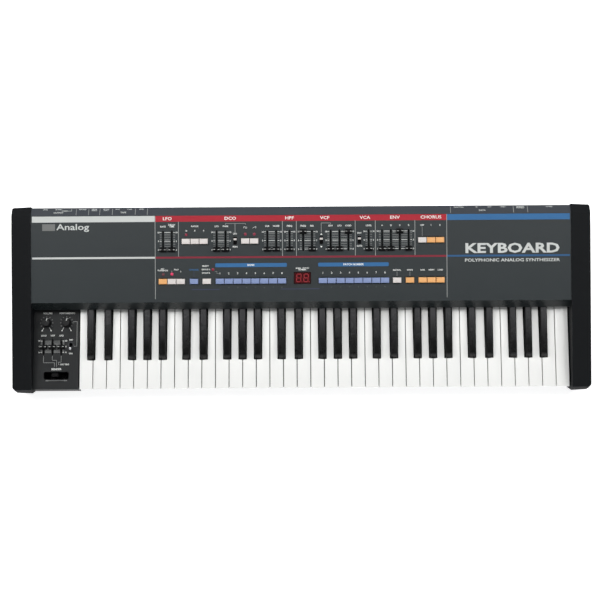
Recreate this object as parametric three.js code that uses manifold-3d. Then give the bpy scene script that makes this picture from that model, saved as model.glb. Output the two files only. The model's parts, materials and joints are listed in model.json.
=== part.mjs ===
// A 61-key analogue synthesizer: a folded steel case between two moulded cheeks, with a sloping
// control panel behind the keys and a small control panel with a bender lever to their left.
// Millimetres. X runs along the keyboard, Y from the player to the rear, Z up. The origin is the
// centre of the footprint, on the surface that the feet stand on.
import * as THREE from "three";
import { mergeVertices } from "three/addons/utils/BufferGeometryUtils.js";
import Module from "manifold-3d";

const wasm = await Module();
wasm.setup();

// ---------------------------------------------------------------- driving dimensions

const WIDTH = 992;
const DEPTH = 320;
const RIDGE_Z = 118; // top of the cheeks; the raised slider caps stand 2 mm above it
const GAP = 0.3; // between parts that touch or pass each other
const STEEL = 1.2; // case and key frame sheet
const PANEL_SHEET = 1.5;

// Depths are measured from the front of the cheeks, heights from the floor.
const SLOPE = THREE.MathUtils.degToRad(8); // of the control panel and the cheek tops
const RIDGE_Y = 300; // highest line of the cheeks
const STRIP_SLOPE = THREE.MathUtils.degToRad(25); // of the label strip behind the ridge
const CHEEK_WIDTH = 32.5;
const CHEEK_DEPTH = 317;
const CHEEK_BOTTOM = 4;
const CHEEK_NOSE_DROP = 14.6; // from the top edge down to the front-most line
const CHEEK_TOP_Y = 4.5;
const INNER = WIDTH / 2 - CHEEK_WIDTH; // inner face of each cheek

const FOOT_HEIGHT = 6;
const FOOT_RADIUS = 13;
const CASE_FRONT = 12.6;
const CASE_REAR = 313.5;
const CASE_FRONT_TOP = 40;
const CASE_REAR_TOP = 105;
const CASE_HALF = INNER - 0.5;
const FLOOR_TOP = FOOT_HEIGHT + STEEL;

const PANEL_RECESS = 2; // of the panel below the cheek tops
const PANEL_FRONT_Y = 152.4;
const LIP_BOTTOM = { y: 142.8, z: 77.5 };
const FLANGE_Y = 315.3;
const FLANGE_BOTTOM = 98;

const CONTROL_PITCH = 15.2; // between neighbouring sliders and buttons

// Heights that follow from the slope.
const cheekTop = (y) => RIDGE_Z - (RIDGE_Y - y) * Math.tan(SLOPE);
const panelTop = (y) => cheekTop(y) - PANEL_RECESS / Math.cos(SLOPE);
const PANEL_FRONT_Z = panelTop(PANEL_FRONT_Y);

// ---------------------------------------------------------------- geometry helpers

const AXIS_X = new THREE.Vector3(1, 0, 0);
const AXIS_Y = new THREE.Vector3(0, 1, 0);
const AXIS_Z = new THREE.Vector3(0, 0, 1);

function prism(outline, depth) {
  const shape = new THREE.Shape(outline.map(([u, v]) => new THREE.Vector2(u, v)));
  return new THREE.ExtrudeGeometry(shape, { depth, bevelEnabled: false });
}

// An outline of [y, z] points, extruded from x0 to x1.
function alongX(outline, x0, x1) {
  const turn = new THREE.Matrix4().makeBasis(AXIS_Y, AXIS_Z, AXIS_X);
  return prism(outline, x1 - x0).applyMatrix4(turn).translate(x0, 0, 0);
}

// An outline of [x, z] points, extruded from y0 to y1.
function alongY(outline, y0, y1) {
  const turn = new THREE.Matrix4().makeBasis(AXIS_X, AXIS_Z, AXIS_Y.clone().negate());
  return prism(outline, y1 - y0).applyMatrix4(turn).translate(0, y1, 0);
}

// An outline of [x, y] points, extruded from z0 to z1.
function alongZ(outline, z0, z1) {
  return prism(outline, z1 - z0).translate(0, 0, z0);
}

function block([x0, x1], [y0, y1], [z0, z1]) {
  const geometry = new THREE.BoxGeometry(x1 - x0, y1 - y0, z1 - z0);
  return geometry.translate((x0 + x1) / 2, (y0 + y1) / 2, (z0 + z1) / 2);
}

// A block given by its centre in X and Y, and its lowest and highest Z.
function post(x, y, width, depth, z0, z1) {
  return block([x - width / 2, x + width / 2], [y - depth / 2, y + depth / 2], [z0, z1]);
}

function rodAlongY(x, z, radius, y0, y1, sides = 12) {
  const geometry = new THREE.CylinderGeometry(radius, radius, y1 - y0, sides);
  return geometry.translate(x, (y0 + y1) / 2, z);
}

function rodAlongZ(x, y, radius, z0, z1, sides = 16) {
  const geometry = new THREE.CylinderGeometry(radius, radius, z1 - z0, sides);
  return geometry.rotateX(Math.PI / 2).translate(x, y, (z0 + z1) / 2);
}

function rodAlongX(y, z, radius, x0, x1, sides = 12) {
  const geometry = new THREE.CylinderGeometry(radius, radius, x1 - x0, sides);
  return geometry.rotateZ(Math.PI / 2).translate((x0 + x1) / 2, y, z);
}

// The closed section of a folded sheet. points are the corners of its outer face, and inward is
// +1 when the thickness lies to the left of the way the points run, or -1 to the right.
function foldedSheet(points, thickness, inward) {
  const direction = (i) => {
    const [u0, v0] = points[i];
    const [u1, v1] = points[i + 1];
    return new THREE.Vector2(u1 - u0, v1 - v0).normalize();
  };
  const normal = (d) => new THREE.Vector2(-d.y * inward, d.x * inward);
  const inner = points.map(([u, v], i) => {
    const before = normal(direction(Math.max(i - 1, 0)));
    const after = normal(direction(Math.min(i, points.length - 2)));
    const mitre = before.clone().add(after).normalize();
    const reach = thickness / mitre.dot(before);
    return [u + mitre.x * reach, v + mitre.y * reach];
  });
  return [...points, ...inner.reverse()];
}

function toSolid(geometry) {
  const bare = geometry.index ? geometry.toNonIndexed() : geometry.clone();
  bare.deleteAttribute("normal");
  bare.deleteAttribute("uv");
  const merged = mergeVertices(bare, 1e-4);
  return new wasm.Manifold(
    new wasm.Mesh({
      numProp: 3,
      vertProperties: merged.attributes.position.array,
      triVerts: new Uint32Array(merged.index.array),
    }),
  );
}

function toGeometry(solid) {
  const mesh = solid.getMesh();
  const geometry = new THREE.BufferGeometry();
  geometry.setAttribute("position", new THREE.BufferAttribute(mesh.vertProperties, 3));
  geometry.setIndex(new THREE.BufferAttribute(mesh.triVerts, 1));
  return geometry;
}

function join(...geometries) {
  const solids = geometries.map(toSolid);
  return toGeometry(solids.reduce((whole, solid) => whole.add(solid)));
}

function cut(geometry, ...tools) {
  const solids = tools.map(toSolid);
  return toGeometry(solids.reduce((whole, solid) => whole.subtract(solid), toSolid(geometry)));
}

function common(a, b) {
  return toGeometry(toSolid(a).intersect(toSolid(b)));
}

// ---------------------------------------------------------------- materials and scene

function material(color, roughness, metalness = 0) {
  return new THREE.MeshStandardMaterial({ color, roughness, metalness });
}

const FINISH = {
  blackPaint: material(0x24282a, 0.6),
  panelPaint: material(0x3c4042, 0.55),
  cheekPlastic: material(0x1c1f20, 0.5),
  benderPlastic: material(0x33383a, 0.6),
  whiteKey: material(0xf2f1ec, 0.25),
  blackKey: material(0x141516, 0.35),
  cap: material(0x121314, 0.45),
  redWindow: material(0x5a0c14, 0.15),
  steel: material(0x9ba0a2, 0.4, 0.9),
  board: material(0x2f6a48, 0.6),
  whiteButton: material(0xece7df, 0.4),
  blueButton: material(0x8a92c8, 0.4),
};

const synthesizer = new THREE.Group();
const body = new THREE.Group(); // depths from the front of the cheeks
body.position.y = -DEPTH / 2;
synthesizer.add(body);
const panel = new THREE.Group(); // x, distance up the panel, height above it
panel.position.set(0, PANEL_FRONT_Y, PANEL_FRONT_Z);
panel.rotation.x = SLOPE;
body.add(panel);
panel.updateMatrix();

function add(group, name, geometry, finish, x = 0, y = 0, z = 0) {
  const mesh = new THREE.Mesh(geometry, finish);
  mesh.name = name;
  mesh.position.set(x, y, z);
  group.add(mesh);
  return mesh;
}

// Brings geometry from the panel's frame to the body's.
const onPanel = (geometry) => geometry.applyMatrix4(panel.matrix);

// ---------------------------------------------------------------- layout of the controls

const SLIDER = {
  low: 89.7, // of the lever, up the panel
  travel: 30,
  slotLow: 86.5,
  slotHigh: 123,
  slotWidth: 2.8,
};
// Each bank of sliders: its first x, then the names, with a + where the lever stands at the top.
const SLIDER_BANKS = [
  [-236.5, ["lfo_rate", "lfo_delay"]],
  [-144.5, ["dco_lfo", "dco_pwm"]],
  [-57.7, ["dco_sub", "dco_noise"]],
  [-19.5, ["hpf_freq"]],
  [3.8, ["vcf_freq+", "vcf_res"]],
  [51, ["vcf_env", "vcf_lfo", "vcf_kybd+"]],
  [116.3, ["vca_level"]],
  [139.2, ["env_attack", "env_decay", "env_sustain+", "env_release"]],
];
const SLIDERS = SLIDER_BANKS.flatMap(([start, names]) =>
  names.map((name, i) => ({
    name: name.replace("+", "") + "_slider",
    x: start + i * CONTROL_PITCH,
    s: SLIDER.low + (name.endsWith("+") ? SLIDER.travel : 0),
  })),
);

const MODE_SWITCH = { s: 104.8, width: 6.6, length: 14, up: 2.4 };
const MODE_SWITCHES = [
  ["pulse_width_switch", -112.9],
  ["filter_polarity_switch", 34.9],
  ["amplifier_mode_switch", 100.2],
];

const BUTTON = { width: 14.1, length: 11, top: 3.4, window: 0.35 };
const UPPER_ROW = 104;
const LOWER_ROW = 35.4;
// Each row of buttons: name, distance up the panel, then runs of [first x, count].
const BUTTON_ROWS = [
  ["dco_buttons", UPPER_ROW, [[-197.2, 3], [-95.4, 2]], "whiteButton"],
  ["chorus_buttons", UPPER_ROW, [[207.9, 3]], "whiteButton"],
  ["assign_buttons", LOWER_ROW, [[-236.9, 3], [-183.7, 1], [-161.8, 1]], "whiteButton"],
  ["bank_buttons", LOWER_ROW, [[-139.3, 8]], "blueButton"],
  ["patch_buttons", LOWER_ROW, [[37.2, 8]], "blueButton"],
  ["memory_buttons", LOWER_ROW, [[164.3, 1], [186.4, 1], [208.1, 3]], "whiteButton"],
];
// The carrier of the row among the sliders goes round the ends of their slots.
const CARRIER_DETOUR = { dco_buttons: -25 };
const buttonCentres = (runs) =>
  runs.flatMap(([start, count]) =>
    Array.from({ length: count }, (_, i) => start + i * CONTROL_PITCH),
  );

const DISPLAY = { x: [-12.5, 16.7], s: [30.1, 50.4] };
const LAMP_RADIUS = 2.6;
const LAMPS = [
  [-196.7, 115.5],
  [-95.3, 115.9],
  [-79.9, 115.9],
  [-236.3, 47.6],
  [-221.5, 47.6],
  [-151.1, 55.6],
];

// Rear row: centres in X, all at one height. Each small switch has its lever's place, how far it
// travels, and how far below the lever's place the travel starts.
const REAR_Z = 70;
const JACK_X = Array.from({ length: 7 }, (_, i) => -420 + i * 20.8);
const DATA_X = [305, 327.5, 350];
const REAR_SWITCHES = [
  ["output_level_switch", -442.4, 6, 3],
  ["tape_level_switch", -274.5, 4, 0],
  ["midi_function_switch", 271, 6, 0],
  ["memory_protect_switch", 378, 4, 0],
];
const INLET = { x: 402.5, width: 24, height: 18 };
const POWER = { x: 429, width: 12.4, height: 23.2 };
const JACK_HOLE = 5.1;
const DATA_HOLE = 8;

// ---------------------------------------------------------------- cheeks

function cheek(side) {
  const profile = [
    [CHEEK_TOP_Y, cheekTop(CHEEK_TOP_Y)],
    [0, cheekTop(CHEEK_TOP_Y) - CHEEK_NOSE_DROP],
    [9, 20],
    [20, CHEEK_BOTTOM],
    [311, CHEEK_BOTTOM],
    [CHEEK_DEPTH, 10],
    [CHEEK_DEPTH, RIDGE_Z - (CHEEK_DEPTH - RIDGE_Y) * Math.tan(STRIP_SLOPE)],
    [RIDGE_Y, RIDGE_Z],
  ];
  const outer = WIDTH / 2;
  const plan = [
    [INNER, 0],
    [outer - 5.6, 1.7],
    [outer, 8.2],
    [outer, CHEEK_DEPTH - 3.5],
    [outer - 2.5, CHEEK_DEPTH - 1.5],
    [INNER, CHEEK_DEPTH],
  ];
  // The moulding is open towards the case, which closes it.
  const wall = 4.5;
  const pocket = [
    [20, 10],
    [305, 10],
    [305, 96],
    [225, 84],
    [225, 38],
    [20, 38],
  ];
  const whole = common(alongX(profile, INNER, outer), alongZ(plan, 0, RIDGE_Z + 1));
  const right = cut(whole, alongX(pocket, INNER - 1, outer - wall));
  return side > 0 ? right : toGeometry(toSolid(right).mirror([1, 0, 0]));
}

add(body, "left_cheek", cheek(-1), FINISH.cheekPlastic);
add(body, "right_cheek", cheek(1), FINISH.cheekPlastic);

// ---------------------------------------------------------------- bottom case

function bottomCase() {
  const tray = foldedSheet(
    [
      [CASE_FRONT, CASE_FRONT_TOP],
      [CASE_FRONT, FOOT_HEIGHT],
      [CASE_REAR, FOOT_HEIGHT],
      [CASE_REAR, CASE_REAR_TOP],
    ],
    STEEL,
    1,
  );
  // The side flanges start inside the sheet's thickness, so that they weld to it.
  const weld = STEEL / 3;
  const sideWall = [
    [CASE_FRONT + weld, FOOT_HEIGHT + weld],
    [CASE_REAR - weld, FOOT_HEIGHT + weld],
    [CASE_REAR - weld, CASE_REAR_TOP - 3],
    [298, panelTop(298) - 4],
    [225, panelTop(225) - 4],
    [225, CASE_FRONT_TOP - 1],
    [CASE_FRONT + weld, CASE_FRONT_TOP - 1],
  ];
  const outside = CASE_HALF - weld;
  const pieces = [
    alongX(tray, -CASE_HALF, CASE_HALF),
    alongX(sideWall, -outside, -outside + STEEL),
    alongX(sideWall, outside - STEEL, outside),
  ];
  for (const x of [-430, 430])
    for (const y of [45, 285])
      pieces.push(rodAlongZ(x, y, FOOT_RADIUS, 0, FOOT_HEIGHT + STEEL / 2));
  const through = [CASE_REAR - 3, CASE_REAR + 3];
  const holes = [
    ...JACK_X.map((x) => rodAlongY(x, REAR_Z, JACK_HOLE, ...through)),
    ...DATA_X.map((x) => rodAlongY(x, REAR_Z, DATA_HOLE, ...through)),
    ...REAR_SWITCHES.map(([, x, travel, before]) =>
      rearSlot(x + travel / 2 - before, travel / 2 + 2.1, 2.1, through),
    ),
    rearSlot(INLET.x, INLET.width / 2 + GAP, INLET.height / 2 + GAP, through),
    rearSlot(POWER.x, POWER.width / 2, POWER.height / 2, through),
  ];
  return cut(join(...pieces), ...holes);
}

function rearSlot(x, halfWidth, halfHeight, depth) {
  return block([x - halfWidth, x + halfWidth], depth, [REAR_Z - halfHeight, REAR_Z + halfHeight]);
}

add(body, "bottom_case", bottomCase(), FINISH.blackPaint);

// ---------------------------------------------------------------- top panel

function topPanel() {
  const ridgeY = RIDGE_Y - 0.2;
  const section = foldedSheet(
    [
      [LIP_BOTTOM.y, LIP_BOTTOM.z],
      [PANEL_FRONT_Y, PANEL_FRONT_Z],
      [ridgeY, panelTop(ridgeY)],
      [FLANGE_Y, panelTop(ridgeY) - (FLANGE_Y - ridgeY) * Math.tan(STRIP_SLOPE)],
      [FLANGE_Y, FLANGE_BOTTOM],
    ],
    PANEL_SHEET,
    -1,
  );
  const sheet = alongX(section, -INNER + GAP, INNER - GAP);
  const depth = [-6, 4];
  const windows = [];
  for (const { x } of SLIDERS) {
    const half = SLIDER.slotWidth / 2;
    windows.push(block([x - half, x + half], [SLIDER.slotLow, SLIDER.slotHigh], depth));
  }
  for (const [, x] of MODE_SWITCHES)
    windows.push(post(x, MODE_SWITCH.s, MODE_SWITCH.width, MODE_SWITCH.length, ...depth));
  for (const [, s, runs] of BUTTON_ROWS)
    for (const x of buttonCentres(runs)) {
      const edge = 2 * BUTTON.window;
      windows.push(post(x, s, BUTTON.width + edge, BUTTON.length + edge, ...depth));
    }
  for (const [x, s] of LAMPS) windows.push(rodAlongZ(x, s, LAMP_RADIUS, ...depth, 10));
  const [x0, x1] = DISPLAY.x;
  const [s0, s1] = DISPLAY.s;
  windows.push(block([x0 - GAP, x1 + GAP], [s0 - GAP, s1 + GAP], depth));
  return cut(sheet, ...windows.map(onPanel));
}

add(body, "top_panel", topPanel(), FINISH.panelPaint);

// ---------------------------------------------------------------- panel controls

// A cap with two sloping faces and a flat ridge, on a lever that goes through the slot.
const CAP = { width: 12.5, length: 8, foot: 0.8, shoulder: 4, top: 8, ridge: 2.4 };

function sliderGeometry(leverDepth) {
  const half = CAP.length / 2;
  const crest = CAP.ridge / 2;
  const outline = [
    [-half, CAP.foot],
    [half, CAP.foot],
    [half, CAP.shoulder],
    [crest, CAP.top],
    [-crest, CAP.top],
    [-half, CAP.shoulder],
  ];
  const cap = alongX(outline, -CAP.width / 2, CAP.width / 2);
  const lever = post(0, 0, 2, 4.4, -leverDepth, CAP.foot + 1);
  return join(cap, lever);
}

for (const { name, x, s } of SLIDERS)
  add(panel, name, sliderGeometry(11), FINISH.cap, x, s);

for (const [name, x] of MODE_SWITCHES) {
  const knob = post(0, 0, 5.4, 3.2, -10, 1.6);
  add(panel, name, knob, FINISH.whiteButton, x, MODE_SWITCH.s + MODE_SWITCH.up);
}

// The strip under the panel that joins the pads of a row, straight or with a detour.
function carrier(runs, detour) {
  const thick = [-4.2, -2.4];
  const span = ([start, count]) => [start - 6, start + (count - 1) * CONTROL_PITCH + 6];
  const spans = runs.map(span);
  if (!detour) return [block([spans[0][0], spans.at(-1)[1]], [-3, 3], thick)];
  const strips = spans.map((ends) => block(ends, [-3, 3], thick));
  const legs = [];
  for (let i = 1; i < spans.length; i++) {
    const from = spans[i - 1][1];
    const to = spans[i][0];
    legs.push(block([from - 9, from], [detour, 0], thick));
    legs.push(block([to, to + 9], [detour, 0], thick));
    legs.push(block([from - 9, to + 9], [detour - 2.5, detour + 2.5], thick));
  }
  return [...strips, ...legs];
}

// A row of buttons: pads with chamfered edges on one carrier.
function buttonRow(runs, detour) {
  const centres = buttonCentres(runs);
  const half = BUTTON.length / 2;
  const shoulder = BUTTON.top - 1;
  const pad = [
    [-half, -3],
    [half, -3],
    [half, shoulder],
    [half - 1, BUTTON.top],
    [-half + 1, BUTTON.top],
    [-half, shoulder],
  ];
  const pads = centres.map((x) => alongX(pad, x - BUTTON.width / 2, x + BUTTON.width / 2));
  return join(...carrier(runs, detour), ...pads);
}

for (const [name, s, runs, finish] of BUTTON_ROWS)
  add(panel, name, buttonRow(runs, CARRIER_DETOUR[name]), FINISH[finish], 0, s);

add(panel, "display_window", block(DISPLAY.x, DISPLAY.s, [-1.6, 0.5]), FINISH.redWindow);

// ---------------------------------------------------------------- boards and power

const PANEL_BOARD = { x: 246, s: [14, 132], top: -16, thick: 1.6 };

function panelBoard() {
  const { x, s, top, thick } = PANEL_BOARD;
  const seat = top - thick / 2;
  const middle = SLIDER.low + SLIDER.travel / 2;
  const pieces = [block([-x, x], s, [top - thick, top])];
  const hollows = [];
  for (const slider of SLIDERS) {
    pieces.push(post(slider.x, middle, 9, 46, seat, -5));
    hollows.push(post(slider.x, middle, 4, 39, -12.5, -3));
  }
  for (const [, switchX] of MODE_SWITCHES) {
    pieces.push(post(switchX, MODE_SWITCH.s, 11, 19, seat, -5));
    hollows.push(post(switchX, MODE_SWITCH.s, 6.4, 13, -11, -3));
  }
  for (const [, rowS, runs] of BUTTON_ROWS) {
    const centres = buttonCentres(runs);
    for (const centre of centres) pieces.push(post(centre, rowS, 6, 6, seat, -6));
  }
  const [x0, x1] = DISPLAY.x;
  const [s0, s1] = DISPLAY.s;
  pieces.push(block([x0 + 2, x1 - 2], [s0 + 2, s1 - 2], [seat, -4]));
  for (const cornerX of [-x + 3, x - 3])
    for (const cornerS of [s[0] + 3, s[1] - 3])
      pieces.push(rodAlongZ(cornerX, cornerS, 2.5, seat, -PANEL_SHEET - GAP, 8));
  return cut(join(...pieces), ...hollows);
}

add(panel, "panel_board", panelBoard(), FINISH.board);

function mainBoard() {
  const level = [18, 19.6];
  const pieces = [block([-190, 300], [228, 300], level)];
  for (let column = 0; column < 7; column++)
    for (const y of [250, 280])
      pieces.push(post(-155 + column * 70, y, 40, 14, level[0] + 0.8, 24));
  for (const x of [-180, 55, 290])
    for (const y of [233, 295])
      pieces.push(rodAlongZ(x, y, 3, FLOOR_TOP + GAP, level[0] + 0.8, 8));
  return join(...pieces);
}

add(body, "main_board", mainBoard(), FINISH.board);

function powerTransformer() {
  const base = FLOOR_TOP + GAP;
  return join(
    block([332, 422], [232, 278], [base, base + 2]),
    block([347, 407], [236, 274], [base + 1, base + 52]),
    block([355, 399], [228, 282], [base + 10, base + 43]),
  );
}

add(body, "power_transformer", powerTransformer(), FINISH.steel);

// The board behind the rear wall, with its sockets and the bodies of the rear switches.
function jackBoard() {
  const front = 286;
  const back = front + 1.6;
  const wallInside = CASE_REAR - STEEL;
  const seat = front + 0.8;
  const tall = 12;
  const spread = (half) => [REAR_Z - half, REAR_Z + half];
  const pieces = [block([-452, 442], [front, back], spread(tall))];
  const hollows = [];
  for (const x of JACK_X) {
    pieces.push(block([x - 8, x + 8], [seat, wallInside - GAP], spread(8)));
    pieces.push(rodAlongY(x, REAR_Z, JACK_HOLE - 0.5, wallInside - 2, 316.8));
    hollows.push(rodAlongY(x, REAR_Z, 3.3, front + 6, 320));
  }
  for (const x of DATA_X) {
    pieces.push(block([x - 10, x + 10], [seat, wallInside - GAP], spread(10)));
    pieces.push(rodAlongY(x, REAR_Z, DATA_HOLE - 0.4, wallInside - 2, 315.4));
    hollows.push(rodAlongY(x, REAR_Z, 6.6, 303, 320));
  }
  for (const [, x] of REAR_SWITCHES)
    pieces.push(block([x - 8, x + 8], [seat, 308.6], spread(4.5)));
  const halfWidth = INLET.width / 2;
  pieces.push(block([INLET.x - halfWidth, INLET.x + halfWidth], [seat, 315], spread(9)));
  hollows.push(block([INLET.x - 9, INLET.x + 9], [300, 318], spread(6)));
  pieces.push(block([POWER.x - 5, POWER.x + 5], [seat, 300], spread(9)));
  return cut(join(...pieces), ...hollows);
}

add(body, "jack_board", jackBoard(), FINISH.board);

// Small rear switches: a lever through the wall on a plate that slides behind it.
for (const [name, x] of REAR_SWITCHES) {
  const plate = block([-4, 4], [309.2, 311.4], [-3.5, 3.5]);
  const lever = block([-1.6, 1.6], [310.5, DEPTH], [-1.6, 1.6]);
  add(body, name, join(plate, lever), FINISH.cap, x, 0, REAR_Z);
}

// The mains rocker, at rest with its lower edge pressed in.
const ROCKER_PIVOT_Y = 308;
const ROCKER_TILT = THREE.MathUtils.degToRad(7);

function rocker() {
  const outline = [
    [-5, -5],
    [1, -10],
    [8.5, -10],
    [6.5, 0],
    [8.5, 10],
    [1, 10],
    [-5, 5],
  ];
  return alongX(outline, -5.6, 5.6);
}

const powerSwitch = add(body, "power_switch", rocker(), FINISH.cap, POWER.x, ROCKER_PIVOT_Y, REAR_Z);
powerSwitch.rotation.x = -ROCKER_TILT;

// ---------------------------------------------------------------- keyboard

const OCTAVES = 5;
const KEY_PITCH = 23.5;
const OCTAVE = 7 * KEY_PITCH;
const FIRST_KEY_X = -384;
const KEY_GAP = 1;
const KEY_FRONT = 6.8;
const KEY_REAR = 207;
const KEY_TOP = 63;
const KEY_THICK = 8;
const KEY_SKIRT = { thick: 2.4, bottom: 43 };
const HEAD_END = 56.2; // where the white keys narrow beside the black ones
const COMB_FRONT = 198; // the strip that joins a comb's keys starts here
const BLACK = { slot: 14.4, base: 12.2, top: 9.4, front: 57, rear: 190, height: 12 };
// Centres of the black keys from the left edge of the octave: each stands off its line between
// two white keys, as on every piano keyboard.
const BLACK_OFFSET = 3.1;
const BLACK_CENTRES = [
  KEY_PITCH - BLACK_OFFSET,
  2 * KEY_PITCH + BLACK_OFFSET,
  4 * KEY_PITCH - BLACK_OFFSET,
  5 * KEY_PITCH,
  6 * KEY_PITCH + BLACK_OFFSET,
];

function whiteComb(octave) {
  const left = FIRST_KEY_X + octave * OCTAVE;
  const count = octave === OCTAVES - 1 ? 8 : 7;
  const bottom = KEY_TOP - KEY_THICK;
  const profile = [
    [KEY_FRONT, KEY_SKIRT.bottom],
    [KEY_FRONT + KEY_SKIRT.thick, KEY_SKIRT.bottom],
    [KEY_FRONT + KEY_SKIRT.thick, bottom],
    [KEY_REAR, bottom],
    [KEY_REAR, KEY_TOP],
    [KEY_FRONT, KEY_TOP],
  ];
  const comb = alongX(profile, left + KEY_GAP / 2, left + count * KEY_PITCH - KEY_GAP / 2);
  const tools = [];
  for (let i = 1; i < count; i++) {
    const x = left + i * KEY_PITCH;
    tools.push(block([x - KEY_GAP / 2, x + KEY_GAP / 2], [0, COMB_FRONT], [30, 80]));
  }
  for (const centre of BLACK_CENTRES) {
    const x = left + centre;
    tools.push(block([x - BLACK.slot / 2, x + BLACK.slot / 2], [HEAD_END, COMB_FRONT], [30, 80]));
  }
  return cut(comb, ...tools);
}

function blackComb(octave) {
  const left = FIRST_KEY_X + octave * OCTAVE;
  const bottom = KEY_TOP - KEY_THICK;
  const top = KEY_TOP + BLACK.height;
  const side = [
    [BLACK.front, bottom],
    [BLACK.rear, bottom],
    [BLACK.rear, top],
    [BLACK.front + 5.5, top],
    [BLACK.front + 0.8, KEY_TOP + 2],
  ];
  const keys = BLACK_CENTRES.map((centre) => {
    const x = left + centre;
    const end = [
      [x - BLACK.base / 2, bottom],
      [x + BLACK.base / 2, bottom],
      [x + BLACK.base / 2, KEY_TOP],
      [x + BLACK.top / 2, top],
      [x - BLACK.top / 2, top],
      [x - BLACK.base / 2, KEY_TOP],
    ];
    return common(alongY(end, BLACK.front - 1, BLACK.rear + 1), alongX(side, x - 10, x + 10));
  });
  const ends = [left + BLACK_CENTRES[0], left + BLACK_CENTRES.at(-1)];
  return join(block(ends, [180, 188], [KEY_TOP + 2.5, KEY_TOP + 7]), ...keys);
}

for (let octave = 0; octave < OCTAVES; octave++) {
  add(body, `white_keys_octave_${octave + 1}`, whiteComb(octave), FINISH.whiteKey);
  add(body, `black_keys_octave_${octave + 1}`, blackComb(octave), FINISH.blackKey);
}

// The chassis under the keys: a front rail, a floor and the step that the keys turn on.
function keyFrame() {
  const step = KEY_TOP - KEY_THICK - 0.8 - STEEL;
  const section = foldedSheet(
    [
      [24, 40],
      [24, 20],
      [204, 20],
      [204, step],
      [216, step],
      [216, 64],
    ],
    STEEL,
    1,
  );
  const pieces = [alongX(section, -380, 460.5)];
  for (const x of [-340, 40, 420])
    for (const y of [60, 180])
      pieces.push(rodAlongZ(x, y, 5, FLOOR_TOP + GAP, 20.6, 10));
  return join(...pieces);
}

add(body, "key_frame", keyFrame(), FINISH.steel);

// ---------------------------------------------------------------- bender panel

const BENDER_PANEL = { x: [-INNER + GAP, -385.4], y: [6.4, 150], top: 63, thick: 2.2 };
const BENDER = { x: -423.5, y: 30.4, z: 36, slot: [42, 12] };
const BENDER_SLIDER = { x: -446, slot: [66, 94.4], y: 80 };
const KNOBS = [
  ["volume_knob", -441.5, 122],
  ["portamento_knob", -407, 122],
];
const TOGGLE = { x: -399, y: 83.5, z: 60 };
const EAR_Y = [11.4, 13.6]; // from the lever's centre

function benderPanel() {
  const { x, y, top, thick } = BENDER_PANEL;
  const plateBottom = top - thick;
  const pieces = [
    block(x, y, [plateBottom, top]),
    block(x, [y[0], y[0] + thick], [28, top]),
    block([x[1] - thick, x[1]], y, [CASE_FRONT_TOP + 1, top]),
  ];
  for (const side of [-1, 1]) {
    const ear = EAR_Y.map((offset) => BENDER.y + side * offset).sort((a, b) => a - b);
    pieces.push(block([BENDER.x - 6, BENDER.x + 6], ear, [BENDER.z - 5, top - 1]));
  }
  const depth = [plateBottom - 2, top + 2];
  const holes = [
    post(BENDER.x, BENDER.y, ...BENDER.slot, ...depth),
    rodAlongY(BENDER.x, BENDER.z, 2.5, BENDER.y - 18, BENDER.y + 18, 12),
    post(TOGGLE.x, TOGGLE.y, 4.6, 9, ...depth),
  ];
  for (let i = 0; i < 3; i++) {
    const slotX = BENDER_SLIDER.x + i * CONTROL_PITCH;
    const half = SLIDER.slotWidth / 2;
    holes.push(block([slotX - half, slotX + half], BENDER_SLIDER.slot, depth));
  }
  for (const [, knobX, knobY] of KNOBS) holes.push(rodAlongZ(knobX, knobY, 3.7, ...depth, 12));
  return cut(join(...pieces), ...holes);
}

add(body, "bender_panel", benderPanel(), FINISH.benderPlastic);

["bender_dco_slider", "bender_vcf_slider", "bender_lfo_slider"].forEach((name, i) => {
  const x = BENDER_SLIDER.x + i * CONTROL_PITCH;
  add(body, name, sliderGeometry(9), FINISH.cap, x, BENDER_SLIDER.y, BENDER_PANEL.top);
});

function knobGeometry() {
  const profile = [
    [0, -12],
    [3.2, -12],
    [3.2, 0.8],
    [8, 0.8],
    [8, 3],
    [7.4, 11],
    [6.6, 12],
    [0, 12],
  ];
  const points = profile.map(([radius, height]) => new THREE.Vector2(radius, height));
  return new THREE.LatheGeometry(points, 18).rotateX(Math.PI / 2);
}

for (const [name, x, y] of KNOBS)
  add(body, name, knobGeometry(), FINISH.cap, x, y, BENDER_PANEL.top);

// The toggle leans to the front at rest.
const TOGGLE_LEAN = THREE.MathUtils.degToRad(28);

function toggleGeometry() {
  const profile = [
    [0, -6],
    [1.5, -6],
    [1.3, 2],
    [2.3, 15.5],
    [1.6, 17],
    [0, 17],
  ];
  const points = profile.map(([radius, height]) => new THREE.Vector2(radius, height));
  return new THREE.LatheGeometry(points, 12).rotateX(Math.PI / 2);
}

const toggle = add(body, "portamento_switch", toggleGeometry(), FINISH.steel);
toggle.position.set(TOGGLE.x, TOGGLE.y, TOGGLE.z);
toggle.rotation.x = TOGGLE_LEAN;

// The gimbal ring turns on pins along Y, and the lever turns in it on pins along X.
function benderGimbal() {
  const outer = block([-14, 14], [-9, 9], [-5, 5]);
  const inner = block([-11, 11], [-6.2, 6.2], [-6, 6]);
  const ring = cut(outer, inner, rodAlongX(0, 0, 2.1, -16, 16));
  return join(
    ring,
    rodAlongY(0, 0, 2.1, -EAR_Y[1] - 1, -8),
    rodAlongY(0, 0, 2.1, 8, EAR_Y[1] + 1),
  );
}

function benderLever() {
  const stalk = [
    [-4, -5],
    [4, -5],
    [4, 24],
    [6, 30],
    [6, 39],
    [4.8, 41],
    [-4.8, 41],
    [-6, 39],
    [-6, 30],
    [-4, 24],
  ];
  return join(
    alongY(stalk, -2.8, 2.8),
    block([-9, 9], [-4, 4], [-4, 4]),
    rodAlongX(0, 0, 1.7, -13.5, 13.5),
  );
}

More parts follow.
